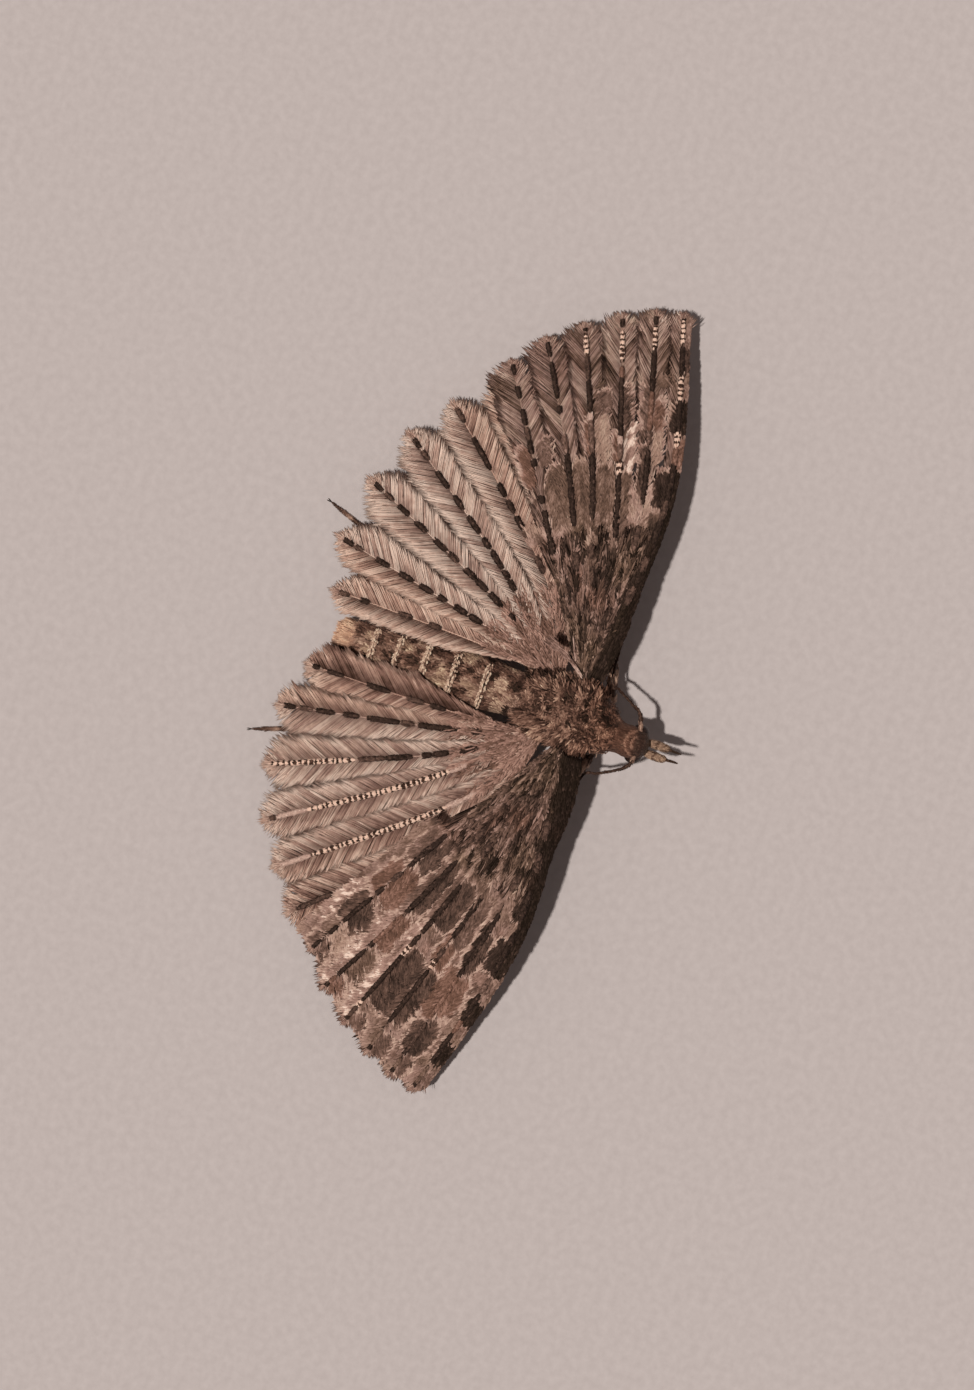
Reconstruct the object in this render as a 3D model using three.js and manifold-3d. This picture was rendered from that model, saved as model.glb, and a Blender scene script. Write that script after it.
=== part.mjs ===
// A many-plumed moth at rest, wings spread flat in one fan, life size, in millimetres.
// +X is the animal's right, +Y is forward, +Z is up, and the six feet stand on z = 0.
// Each wing is six feathered plumes on one root membrane: a shaft that stands as a ridge, with
// combed barbs along both sides. The left half mirrors the right half, apart from how far each
// wing is opened and the head, which is carried a little to the right.
import * as THREE from 'three';
import { mergeVertices } from 'three/addons/utils/BufferGeometryUtils.js';
import Module from 'manifold-3d';

const wasm = await Module();
wasm.setup();

// ---------- driving dimensions, in mm ----------

const GAP = 0.1; // air left between two neighbouring pieces

// Wing plumes of the right side, from the front one to the rear one. Every shaft leaves the wing's
// root line, turns over its knee and runs nearly straight to its tip.
const FOREWING = {
  root: [0.6, 1.19, 1.75],
  rootStep: [0, -0.03, -0.01],
  plumes: [
    { knee: [4.1, 1.62, 1.72], tip: [7.33, 0.66, 0.58] },
    { knee: [3.3, 1.3, 1.72], tip: [7.21, 0.19, 0.6] },
    { knee: [3.1, 0.9, 1.7], tip: [6.96, -0.35, 0.62] },
    { knee: [3.75, 0.24, 1.65], tip: [6.58, -0.92, 0.66] },
    { knee: [3.73, -0.15, 1.6], tip: [6.12, -1.47, 0.7] },
    { knee: [3.08, -0.45, 1.56], tip: [5.53, -1.92, 0.76] },
  ],
  barbedFrom: 0.3, // share of the shaft's length where the barbs begin
  barbs: 12, // along each side of a shaft
  leadingEdge: 0.1, // smooth strip in front of the first shaft
  frontReach: 0,
  rearReach: 0.5,
  margin: { front: 0.1, rear: 0.1 }, // of the membrane past its first and last shaft
  open: { left: 0.5, right: -0.5 }, // degrees that the rear plume is turned back; the front one is not
  shiftX: -0.06,
};
const HINDWING = {
  root: [0.56, 0.76, 0.99],
  rootStep: [0, -0.06, 0.01],
  plumes: [
    { knee: [2.5, 0.35, 0.8], tip: [5.12, -2.25, 0.3] },
    { knee: [2.0, 0.12, 0.92], tip: [4.41, -2.79, 0.45] },
    { knee: [1.97, -0.8, 1.02], tip: [3.66, -3.3, 0.6] },
    { knee: [1.4, -0.6, 1.15], tip: [2.68, -3.62, 0.75] },
    { knee: [0.92, -0.5, 1.22], tip: [1.58, -3.77, 0.85] },
    { knee: [0.68, -1.2, 1.3], tip: [0.7, -3.52, 0.95] },
  ],
  barbedFrom: 0.28,
  barbs: 10,
  leadingEdge: 0,
  frontReach: 0.46,
  rearReach: 0.22, // beside the abdomen
  margin: { front: 0.08, rear: 0.02 },
  open: { left: -2.4, right: 2.4 }, // degrees, here of the front plume; the rear one turns least
  shiftX: 0.02,
};
const SHAFT_START = 0.15; // share of its length where a shaft sets out, inside the membrane
const SHAFT_FULL_AT = 0.42; // where it has swelled to its full width
const SHAFT_TAPER_FROM = 0.72; // and where it begins to taper
const SHAFT_THICK = 0.5; // from ridge to keel
const SHAFT_TIP_THICK = 0.2;
const SHAFT_ROOT_WIDTH = 0.08;
const SHAFT_WIDTH = 0.2;
const SHAFT_TIP_WIDTH = 0.1;
const FLANK = 0.56; // height of a shaft's sides, where the barbs root, as a share of its thickness
const BARB_LEAN = 56; // degrees between shaft and barb at the root
const BARB_TIP_LEAN = 40; // and at the barb's tip, as it bends towards the tip of the plume
const BARB_BELLY = 0.68; // how far out a barb is still broad, as a share of its length
const BARB_FULLNESS = 0.43; // half its breadth there, as a share of a step along the shaft
const LONGEST_BARB = 0.62; // reach out from the shaft's middle line
const SHORTEST_BARB = 0.07; // out from the shaft's side; a shorter one isn't made
const BARB_THINNING = 0.6; // a barb's thickness at its belly, as a share of that at its root
const BARB_DROOP = 0.03; // of its tip
const BARBED_TO = 0.985; // share of a shaft's length where the last barbs end
const TIP_LENGTH = 0.22; // of the hairs past the end of a shaft
const BARB_GAP = 0.05; // between the barbs of two neighbouring plumes
const MEMBRANE_THICK = 0.36;
const MEMBRANE_SHARE = 0.34; // of each shaft's length

// Body. Profiles are [half width, place along Y].
const THORAX = {
  profile: [
    [0.3, 0.24],
    [0.42, 0.3],
    [0.52, 0.55],
    [0.6, 0.95],
    [0.61, 1.25],
    [0.53, 1.6],
    [0.36, 1.88],
    [0.24, 1.95],
  ],
  height: 0.95, // as a share of the width
  z: 1.42,
};
const TEGULA = { radii: [0.17, 0.36, 0.2], at: [0.43, 1.32, 1.78] }; // the scale lobe over a wing's root
const ABDOMEN = {
  front: 0.14,
  end: -3.2,
  segments: 7,
  widths: [0.3, 0.42, 0.47, 0.48, 0.46, 0.42, 0.36, 0.26], // half widths at the segment edges
  lip: 0.025, // each segment's rear edge stands proud by this
  height: 0.88,
  frontZ: 1.14,
  endZ: 0.78,
};
const TAIL_TUFT = { length: 0.32, halfWidth: 0.24 };
const HEAD = {
  at: [0.12, 2.32, 1.34],
  profile: [
    [0.15, -0.29],
    [0.24, -0.2],
    [0.28, -0.02],
    [0.26, 0.14],
    [0.18, 0.25],
    [0.07, 0.29],
  ],
  height: 1.1,
};
const EYE = { radius: 0.17, at: [0.2, 0.07, -0.02] }; // from the head's centre
const PALP = {
  path: [
    [0.13, 0.16, -0.22],
    [0.13, 0.4, -0.18],
    [0.12, 0.66, -0.04],
    [0.1, 0.82, 0.16],
  ],
  radii: [0.08, 0.09, 0.08, 0.05],
};
const ANTENNA = {
  path: [
    [0.32, 2.42, 1.52],
    [0.6, 2.34, 1.5],
    [0.84, 1.98, 1.32],
    [1.02, 1.74, 1.16],
    [1.9, 1.66, 1.1],
    [2.9, 1.7, 1.05],
    [3.8, 1.66, 0.98],
  ],
  radii: [0.14, 0.16, 0.16, 0.16, 0.15, 0.13, 0.07],
};
// Legs of the right side: coxa, knee, heel, then the toe joint and the tip of the foot.
const LEGS = {
  foreleg: {
    path: [
      [0.2, 1.6, 1.0],
      [0.4, 1.7, 0.66],
      [0.9, 1.6, 0.56],
      [1.3, 1.5, 0.22],
      [1.75, 1.47, 0.12],
      [2.3, 1.44, 0.08],
    ],
    radii: [0.14, 0.2, 0.22, 0.17, 0.14, 0.1],
  },
  midleg: {
    path: [
      [0.26, 1.1, 1.0],
      [0.5, 1.1, 0.56],
      [1.25, 1.06, 0.5],
      [2.1, 0.96, 0.24],
      [2.6, 0.9, 0.12],
      [3.25, 0.82, 0.08],
    ],
    radii: [0.14, 0.22, 0.23, 0.18, 0.14, 0.1],
  },
  hindleg: {
    path: [
      [0.26, 0.58, 1.0],
      [0.48, 0.38, 0.48],
      [0.94, -0.6, 0.36],
      [1.36, -1.9, 0.26],
      [1.7, -2.9, 0.13],
      [2.17, -4.22, 0.08],
    ],
    radii: [0.14, 0.2, 0.24, 0.2, 0.15, 0.1],
  },
};

// ---------- materials ----------

const finish = (color, roughness) => new THREE.MeshStandardMaterial({ color, roughness, metalness: 0 });
const WING_SCALES = finish(0x96806f, 0.85);
const BODY_SCALES = finish(0x7c6252, 0.85);
const HEAD_SCALES = finish(0x6e503c, 0.6);
const PALE_SCALES = finish(0xa8967c, 0.8);
const EYE_SURFACE = finish(0x2a1f1e, 0.2);

const UP = new THREE.Vector3(0, 0, 1);

// ---------- from meshes to solids and back ----------

// A closed surface from a list of points and a list of triangles.
function surface(points, triangles) {
  const geometry = new THREE.BufferGeometry();
  geometry.setAttribute('position', new THREE.Float32BufferAttribute(points.flat(), 3));
  geometry.setIndex(triangles.flat());
  return geometry;
}

function solid(geometry) {
  const bare = geometry.clone();
  bare.deleteAttribute('normal');
  bare.deleteAttribute('uv');
  const merged = mergeVertices(bare, 1e-4);
  return new wasm.Manifold(
    new wasm.Mesh({
      numProp: 3,
      vertProperties: new Float32Array(merged.attributes.position.array),
      triVerts: new Uint32Array(merged.index.array),
    }),
  );
}

// The largest closed surface of a solid, as a geometry.
function geometryOf(manifold) {
  const largest = manifold.decompose().sort((a, b) => b.volume() - a.volume())[0];
  const mesh = largest.getMesh();
  const geometry = new THREE.BufferGeometry();
  geometry.setAttribute('position', new THREE.BufferAttribute(new Float32Array(mesh.vertProperties), 3));
  geometry.setIndex(new THREE.BufferAttribute(new Uint32Array(mesh.triVerts), 1));
  return geometry;
}

// ---------- turned and drawn-out forms ----------

// A form turned about Y from [half width, y] pairs, closed on the axis at both ends.
function turned(profile, sides, grow = 0) {
  const rim = profile.map(([width, y]) => new THREE.Vector2(width + grow, y));
  const first = new THREE.Vector2(0, profile[0][1] + (profile[0][1] < profile.at(-1)[1] ? -grow : grow));
  const last = new THREE.Vector2(0, profile.at(-1)[1] + (profile[0][1] < profile.at(-1)[1] ? grow : -grow));
  const points = [first, ...rim, last];
  if (first.y > last.y) {
    points.reverse();
  }
  return new THREE.LatheGeometry(points, sides);
}

// A round limb along a smooth path: a cylinder whose rows are laid on the curve, a flat side down.
// Nothing of it reaches below the floor, so a foot laid on the floor stands on a flat strip.
function limb(path, radii, steps, sides) {
  const curve = new THREE.CatmullRomCurve3(path.map((point) => new THREE.Vector3(...point)));
  const geometry = new THREE.CylinderGeometry(1, 1, 1, sides, steps, false, Math.PI / sides);
  const position = geometry.attributes.position;
  for (let i = 0; i < position.count; i += 1) {
    const share = Math.min(1, Math.max(0, position.getY(i) + 0.5));
    const at = share * (radii.length - 1);
    const part = Math.min(radii.length - 2, Math.floor(at));
    const radius = THREE.MathUtils.lerp(radii[part], radii[part + 1], at - part);
    const centre = curve.getPoint(share);
    const along = curve.getTangent(share);
    const side = new THREE.Vector3().crossVectors(UP, along).normalize();
    const over = new THREE.Vector3().crossVectors(along, side);
    const point = centre
      .addScaledVector(side, radius * position.getX(i))
      .addScaledVector(over, -radius * position.getZ(i));
    position.setXYZ(i, point.x, point.y, Math.max(0, point.z));
  }
  return geometry;
}

// ---------- wings ----------

function plumeCurves(wing, side) {
  const count = wing.plumes.length;
  const pivot = new THREE.Vector2(wing.root[0], wing.root[1]);
  return wing.plumes.map(({ knee, tip }, k) => {
    const share = wing === FOREWING ? k / (count - 1) : 1 - k / (count - 1);
    const turn = THREE.MathUtils.degToRad(-wing.open[side] * share);
    const place = ([x, y, z]) => {
      const flat = new THREE.Vector2(x, y).rotateAround(pivot, turn);
      const mirroredShift = side === 'right' ? wing.shiftX : -wing.shiftX;
      return new THREE.Vector3(flat.x + mirroredShift, flat.y, z);
    };
    const root = new THREE.Vector3(...wing.root).addScaledVector(new THREE.Vector3(...wing.rootStep), k);
    return new THREE.CubicBezierCurve3(root, place(knee), place(knee), place(tip));
  });
}

// The level direction across a shaft, towards the wing's leading edge.
function frontOf(curve, share) {
  return new THREE.Vector3().crossVectors(UP, curve.getTangentAt(share)).normalize();
}

// How far the barbs may reach at a place on a shaft, so that they just clear those of the next shaft.
function reachBetween(curve, neighbour, share, front) {
  const here = curve.getPointAt(share);
  const out = neighbour.getPointAt(share).sub(here);
  return Math.min(LONGEST_BARB, 0.5 * Math.abs(out.dot(front)) - 0.5 * BARB_GAP);
}

// One plume. Its ring of six points runs ridge, front flank, keel, rear flank.
function plume(curve, before, after, wing) {
  const points = [];
  const triangles = [];
  const plain = 3; // steps of bare shaft inside the membrane
  const steps = plain + wing.barbs;
  const rings = [];
  const add = (point) => points.push(point.toArray()) - 1;
  const lead = before ? 0 : wing.leadingEdge;

  for (let i = 0; i <= steps; i += 1) {
    const bare = THREE.MathUtils.lerp(SHAFT_START, wing.barbedFrom, i / plain);
    const barbed = THREE.MathUtils.lerp(wing.barbedFrom, BARBED_TO, (i - plain) / wing.barbs);
    const share = i < plain ? bare : barbed;
    const centre = curve.getPointAt(share);
    const along = curve.getTangentAt(share);
    const front = frontOf(curve, share);
    const outer = THREE.MathUtils.smoothstep(share, SHAFT_TAPER_FROM, 1);
    const half = 0.5 * THREE.MathUtils.lerp(SHAFT_THICK, SHAFT_TIP_THICK, outer);
    const swell = THREE.MathUtils.smoothstep(share, SHAFT_START, SHAFT_FULL_AT);
    const fullWidth = THREE.MathUtils.lerp(SHAFT_WIDTH, SHAFT_TIP_WIDTH, outer);
    const width = 0.5 * THREE.MathUtils.lerp(SHAFT_ROOT_WIDTH, fullWidth, swell);
    const corner = (across, rise) => add(centre.clone().addScaledVector(front, across).addScaledVector(UP, rise));
    rings.push({
      share,
      along,
      front,
      half,
      centre,
      width,
      ring: [
        corner(0, half),
        corner(width + lead, FLANK * half),
        corner(width + lead, -FLANK * half),
        corner(0, -half),
        corner(-width, -FLANK * half),
        corner(-width, FLANK * half),
      ],
    });
  }

  // A barb grows from the four corners of one step of the shaft's flank, keeps nearly their width
  // out to its belly and then runs to a point.
  function barb(near, far, corners, side, reach) {
    const along = near.along.clone().add(far.along).normalize();
    const out = near.front.clone().multiplyScalar(side);
    const step = near.centre.distanceTo(far.centre);
    const towards = (degrees) => {
      const lean = THREE.MathUtils.degToRad(degrees);
      return along.clone().multiplyScalar(Math.cos(lean)).addScaledVector(out, Math.sin(lean));
    };
    const length = reach / Math.sin(THREE.MathUtils.degToRad(BARB_LEAN));
    const root = near.centre.clone().lerp(far.centre, 0.5).addScaledVector(out, near.width);
    const belly = root.clone().addScaledVector(towards(BARB_LEAN), BARB_BELLY * length);
    const tip = belly.clone().addScaledVector(towards(BARB_TIP_LEAN), (1 - BARB_BELLY) * length);
    tip.z -= BARB_DROOP;
    const signs = side > 0 ? [[-1, 1], [1, 1], [1, -1], [-1, -1]] : [[-1, -1], [1, -1], [1, 1], [-1, 1]];
    const belt = signs.map(([forward, rise]) => {
      const corner = belly.clone().addScaledVector(along, forward * BARB_FULLNESS * step);
      return add(corner.addScaledVector(UP, rise * BARB_THINNING * FLANK * near.half));
    });
    const end = add(tip);
    for (let k = 0; k < 4; k += 1) {
      const next = (k + 1) % 4;
      if (k < 2) {
        triangles.push([corners[k], corners[next], belt[next]], [corners[k], belt[next], belt[k]]);
      } else {
        triangles.push([corners[k], corners[next], belt[k]], [corners[next], belt[next], belt[k]]);
      }
      triangles.push([belt[k], belt[next], end]);
    }
  }

  for (let i = 0; i < steps; i += 1) {
    const near = rings[i];
    const far = rings[i + 1];
    for (let j = 0; j < 6; j += 1) {
      const next = (j + 1) % 6;
      const corners = [near.ring[j], far.ring[j], far.ring[next], near.ring[next]];
      const side = j === 1 ? 1 : -1;
      const neighbour = side > 0 ? before : after;
      const edge = side > 0 ? wing.frontReach : wing.rearReach;
      const share = 0.5 * (near.share + far.share);
      const reach = (neighbour ? reachBetween(curve, neighbour, share, near.front) : edge) - near.width;
      const flank = j === 1 || j === 4;
      if (flank && i >= plain && reach > SHORTEST_BARB) {
        barb(near, far, corners, side, reach);
      } else {
        triangles.push([corners[0], corners[1], corners[2]], [corners[0], corners[2], corners[3]]);
      }
    }
  }

  const last = rings[steps];
  const apex = add(curve.getPoint(1).addScaledVector(last.along, TIP_LENGTH));
  for (let j = 0; j < 6; j += 1) {
    triangles.push([last.ring[j], apex, last.ring[(j + 1) % 6]]);
  }
  for (let j = 1; j < 5; j += 1) {
    triangles.push([rings[0].ring[0], rings[0].ring[j], rings[0].ring[j + 1]]);
  }
  return surface(points, triangles);
}

// The membrane that holds a wing's shafts together at the root, a plate over all six of them.
function membrane(curves, wing) {
  const columns = 5;
  const points = [];
  const triangles = [];
  const levels = [0.5 * MEMBRANE_THICK, -0.5 * MEMBRANE_THICK];
  const rows = curves.length;
  const index = (level, row, column) => (level * rows + row) * columns + column;
  for (const rise of levels) {
    for (let row = 0; row < rows; row += 1) {
      for (let column = 0; column < columns; column += 1) {
        const share = (MEMBRANE_SHARE * column) / (columns - 1);
        const past = row === 0 ? wing.margin.front : row === rows - 1 ? -wing.margin.rear : 0;
        const point = curves[row].getPointAt(share).addScaledVector(frontOf(curves[row], share), past);
        points.push([point.x, point.y, point.z + rise]);
      }
    }
  }
  for (let row = 0; row < rows - 1; row += 1) {
    for (let column = 0; column < columns - 1; column += 1) {
      const corners = (level) => [
        index(level, row, column),
        index(level, row + 1, column),
        index(level, row + 1, column + 1),
        index(level, row, column + 1),
      ];
      const [a, b, c, d] = corners(0);
      const [e, f, g, h] = corners(1);
      triangles.push([a, b, c], [a, c, d], [e, g, f], [e, h, g]);
    }
  }
  const rim = [];
  for (let column = 0; column < columns; column += 1) {
    rim.push([0, column]);
  }
  for (let row = 1; row < rows; row += 1) {
    rim.push([row, columns - 1]);
  }
  for (let column = columns - 2; column >= 0; column -= 1) {
    rim.push([rows - 1, column]);
  }
  for (let row = rows - 2; row > 0; row -= 1) {
    rim.push([row, 0]);
  }
  rim.forEach(([row, column], k) => {
    const [nextRow, nextColumn] = rim[(k + 1) % rim.length];
    const top = index(0, row, column);
    const nextTop = index(0, nextRow, nextColumn);
    const under = index(1, row, column);
    const nextUnder = index(1, nextRow, nextColumn);
    triangles.push([top, nextTop, nextUnder], [top, nextUnder, under]);
  });
  return surface(points, triangles);
}

// A whole wing of the right side's shape: plumes and membrane joined, cut clear of the body.
function wingSolid(wing, side, bodyGrown) {
  const curves = plumeCurves(wing, side);
  const pieces = curves.map((curve, k) => solid(plume(curve, curves[k - 1], curves[k + 1], wing)));
  const joined = pieces.reduce((whole, piece) => whole.add(piece), solid(membrane(curves, wing)));
  return bodyGrown.reduce((cut, neighbour) => cut.subtract(neighbour), joined);
}

// ---------- body ----------

function thoraxSolid(grow) {
  const trunk = turned(THORAX.profile, 16, grow);
  trunk.scale(1, 1, THORAX.height);
  trunk.translate(0, 0, THORAX.z);
  const tegulae = [-1, 1].map((side) => {
    const lobe = new THREE.SphereGeometry(1, 12, 8);
    lobe.scale(...TEGULA.radii.map((radius) => radius + grow));
    lobe.translate(side * TEGULA.at[0], TEGULA.at[1], TEGULA.at[2]);
    return solid(lobe);
  });
  return tegulae.reduce((whole, lobe) => whole.add(lobe), solid(trunk));
}

function abdomenSolid(grow) {
  const profile = [];
  const length = ABDOMEN.front - ABDOMEN.end;
  const pitch = length / ABDOMEN.segments;
  for (let k = 0; k < ABDOMEN.segments; k += 1) {
    const y = ABDOMEN.front - k * pitch;
    const [width, next] = [ABDOMEN.widths[k], ABDOMEN.widths[k + 1]];
    profile.push([width, y]);
    profile.push([next + ABDOMEN.lip, y - 0.88 * pitch]);
  }
  profile.push([TAIL_TUFT.halfWidth, ABDOMEN.end]);
  profile.push([0.6 * TAIL_TUFT.halfWidth, ABDOMEN.end - 0.7 * TAIL_TUFT.length]);
  const geometry = turned(profile, 16, grow);
  const position = geometry.attributes.position;
  for (let i = 0; i < position.count; i += 1) {
    const share = (ABDOMEN.front - position.getY(i)) / length;
    const z = THREE.MathUtils.lerp(ABDOMEN.frontZ, ABDOMEN.endZ, share);
    position.setZ(i, position.getZ(i) * ABDOMEN.height + z);
  }
  return solid(geometry);
}

function headSolid(grow) {
  const skull = turned(HEAD.profile, 16, grow);
  skull.scale(1, 1, HEAD.height);
  skull.translate(...HEAD.at);
  return solid(skull);
}

function eyeGeometry(side, grow) {
  const ball = new THREE.SphereGeometry(EYE.radius + grow, 10, 8);
  const [x, y, z] = EYE.at;
  ball.translate(HEAD.at[0] + side * x, HEAD.at[1] + y, HEAD.at[2] + z);
  return ball;
}

// ---------- the animal ----------

const group = new THREE.Group();

function addNode(name, geometry, material) {
  const mesh = new THREE.Mesh(geometry, material);
  mesh.name = name;
  group.add(mesh);
}

// The left side's pieces are built as a right side and turned over.
function mirrored(geometry) {
  const flipped = geometry.clone().scale(-1, 1, 1);
  const index = flipped.index.array;
  for (let i = 0; i < index.length; i += 3) {
    [index[i + 1], index[i + 2]] = [index[i + 2], index[i + 1]];
  }
  return flipped;
}

const sides = [
  ['left', -1],
  ['right', 1],
];
const thoraxGrown = thoraxSolid(GAP);
const abdomenGrown = abdomenSolid(GAP);
const headGrown = headSolid(GAP);
const eyeSeats = sides.map(([, sign]) => solid(eyeGeometry(sign, 0.5 * GAP)));
const clearOfEyes = (piece) => eyeSeats.reduce((cut, seat) => cut.subtract(seat), piece);

addNode('thorax', geometryOf(thoraxSolid(0)), BODY_SCALES);
addNode('abdomen', geometryOf(abdomenSolid(0).subtract(thoraxGrown)), BODY_SCALES);
addNode('head', geometryOf(clearOfEyes(headSolid(0)).subtract(thoraxGrown)), HEAD_SCALES);

for (const [side, sign] of sides) {
  addNode(`eye_${side}`, geometryOf(solid(eyeGeometry(sign, 0))), EYE_SURFACE);

  const place = ([x, y, z]) => [HEAD.at[0] + sign * x, HEAD.at[1] + y, HEAD.at[2] + z];
  const palp = solid(limb(PALP.path.map(place), PALP.radii, 8, 7)).subtract(headGrown);
  addNode(`palp_${side}`, geometryOf(clearOfEyes(palp)), PALE_SCALES);

  const carried = ([x, y, z], k) => [sign * x + HEAD.at[0] * Math.max(0, 1 - k / 3), y, z];
  const antenna = solid(limb(ANTENNA.path.map(carried), ANTENNA.radii, 18, 6));
  addNode(`antenna_${side}`, geometryOf(clearOfEyes(antenna.subtract(headGrown))), PALE_SCALES);

  for (const [name, { path, radii }] of Object.entries(LEGS)) {
    const placed = path.map(([x, y, z]) => [sign * x, y, z]);
    const leg = solid(limb(placed, radii, 13, 8)).subtract(thoraxGrown);
    addNode(`${name}_${side}`, geometryOf(leg), PALE_SCALES);
  }

  for (const [name, wing] of [
    ['forewing', FOREWING],
    ['hindwing', HINDWING],
  ]) {
    const geometry = geometryOf(wingSolid(wing, side, [thoraxGrown, abdomenGrown]));
    addNode(`${name}_${side}`, sign < 0 ? mirrored(geometry) : geometry, WING_SCALES);
  }
}

// The origin stands on the floor under the middle of the animal.
const middle = new THREE.Box3().setFromObject(group).getCenter(new THREE.Vector3());
group.position.set(-middle.x, -middle.y, 0);

export default group;
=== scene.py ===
# %% [markdown]
# # A many-plumed moth, spread flat
# This animal is made 15 mm across. Each of its four wings is not one sheet but six feathers:
# a stiff shaft with fine hairs combed out on both sides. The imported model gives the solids, and
# this lesson grows the scales, hairs and plumes that the eye sees. Body, wings and limbs get a
# thin skin and, on it, a coat of closed little blades that lie as the real scales lie.

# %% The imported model
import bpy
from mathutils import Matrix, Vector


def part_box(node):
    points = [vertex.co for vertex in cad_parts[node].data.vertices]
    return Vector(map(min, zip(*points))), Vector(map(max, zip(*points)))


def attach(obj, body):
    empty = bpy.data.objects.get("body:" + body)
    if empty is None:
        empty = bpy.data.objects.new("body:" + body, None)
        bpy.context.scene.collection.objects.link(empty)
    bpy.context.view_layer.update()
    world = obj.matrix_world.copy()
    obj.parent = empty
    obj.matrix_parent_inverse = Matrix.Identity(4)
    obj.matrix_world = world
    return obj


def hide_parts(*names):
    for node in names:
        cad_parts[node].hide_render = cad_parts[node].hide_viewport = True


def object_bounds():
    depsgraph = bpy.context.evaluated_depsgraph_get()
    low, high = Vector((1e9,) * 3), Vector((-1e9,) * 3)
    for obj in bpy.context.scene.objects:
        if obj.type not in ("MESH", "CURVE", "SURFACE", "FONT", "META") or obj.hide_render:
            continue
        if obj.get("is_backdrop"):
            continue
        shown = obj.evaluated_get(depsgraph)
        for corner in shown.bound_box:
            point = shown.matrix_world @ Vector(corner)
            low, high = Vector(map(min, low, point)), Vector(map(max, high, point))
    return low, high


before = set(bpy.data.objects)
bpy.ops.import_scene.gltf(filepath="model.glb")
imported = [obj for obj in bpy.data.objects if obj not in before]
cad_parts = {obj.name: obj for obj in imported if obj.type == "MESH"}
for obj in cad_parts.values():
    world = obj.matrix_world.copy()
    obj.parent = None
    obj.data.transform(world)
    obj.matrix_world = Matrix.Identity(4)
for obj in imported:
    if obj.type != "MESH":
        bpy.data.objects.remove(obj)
cad_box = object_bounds()
print("packed nodes:", sorted(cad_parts))

# %% [markdown]
# ## One frame, in millimetres
# The animal was drawn in millimetres with its body's middle at x = 0, y forward and z up. One
# function turns such points into metres in the model's frame. Its origin is read from the
# thorax, so nothing is fitted by eye.

# %% Millimetres to the model's frame
import math

import bpy
import numpy as np

MM = 0.001
THORAX_FRONT = 1.95
thorax_low, thorax_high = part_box("thorax")
ORIGIN = np.array([
    0.5 * (thorax_low[0] + thorax_high[0]),
    thorax_high[1] - THORAX_FRONT * MM,
    0.0,
])


def in_frame(points):
    """Drawn points in mm, as metres in the model's frame."""
    return np.asarray(points) * MM + ORIGIN


print("drawing's origin in the frame, mm:", (ORIGIN / MM).round(3))

# %% [markdown]
# ## Camera
# A flat insect is looked at from straight above, with the head to the right. A long lens held
# well back keeps the high thorax from leaning over the low wing tips.

# %% Camera
VIEW_CENTRE = (0.182, -0.417, 1.2)  # drawn mm, at the middle of the view
VIEW_HEIGHT = 24.82  # mm of the animal's surroundings from the view's bottom to its top
VIEW_TURN = 109.4  # degrees
CAMERA_RISE = 110.0  # mm above the view's centre
SENSOR = 24.0

scene = bpy.context.scene
camera_data = bpy.data.cameras.new("camera")
camera_data.sensor_fit = "VERTICAL"
camera_data.sensor_height = SENSOR
camera_data.lens = SENSOR * CAMERA_RISE / VIEW_HEIGHT
camera_data.clip_start = 0.005
camera_data.clip_end = 5.0
camera = bpy.data.objects.new("camera", camera_data)
camera.location = in_frame(VIEW_CENTRE) + np.array([0, 0, CAMERA_RISE * MM])
camera.rotation_euler = (0, 0, math.radians(VIEW_TURN))
scene.collection.objects.link(camera)
scene.camera = camera
print("lens:", round(camera_data.lens, 1), "mm")

# %% [markdown]
# ## Colours and nodes
# Colours are chosen on a screen, so they are written as sRGB hex and turned to the linear
# values that light is counted in. One small function adds any node, sets it and links it.

# %% Colour and node helpers
def linear(hex_colour):
    """An sRGB hex colour as linear red, green, blue and alpha."""
    parts = [int(hex_colour[i:i + 2], 16) / 255 for i in (1, 3, 5)]
    return (*[c / 12.92 if c < 0.04045 else ((c + 0.055) / 1.055) ** 2.4 for c in parts], 1.0)


def add(tree, kind, inputs=None, stops=None, **settings):
    """One node. inputs maps its sockets to values or to other nodes' outputs. stops are the
    places and colours of a ramp: its two ends first, then those between."""
    node = tree.nodes.new(kind)
    for key, value in settings.items():
        setattr(node, key, value)
    for socket, value in (inputs or {}).items():
        if isinstance(value, bpy.types.NodeSocket):
            tree.links.new(value, node.inputs[socket])
        else:
            node.inputs[socket].default_value = value
    for i, (place, colour) in enumerate(stops or []):
        ramp = node.color_ramp.elements
        stop = ramp[i] if i < 2 else ramp.new(place)
        stop.position = place
        stop.color = linear(colour)
    return node


def new_material(name):
    """An empty node material and its tree."""
    material = bpy.data.materials.new(name)
    material.use_nodes = True
    material.node_tree.nodes.clear()
    return material, material.node_tree


print("mid taupe in linear light:", [round(c, 3) for c in linear("#967d70")])

# %% [markdown]
# ## Floor and light
# The floor is a plain pale sheet, matt like paper. The light is one warm lamp, high above and a
# little behind the tail and to the animal's right, soft enough to blur the shadow's edge, and a
# weak even fill. A high lamp keeps the shadow close under the wings, which tells how low they
# are held.

# %% Floor
paper, tree = new_material("matt_paper")
where = add(tree, "ShaderNodeTexCoord")
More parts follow.
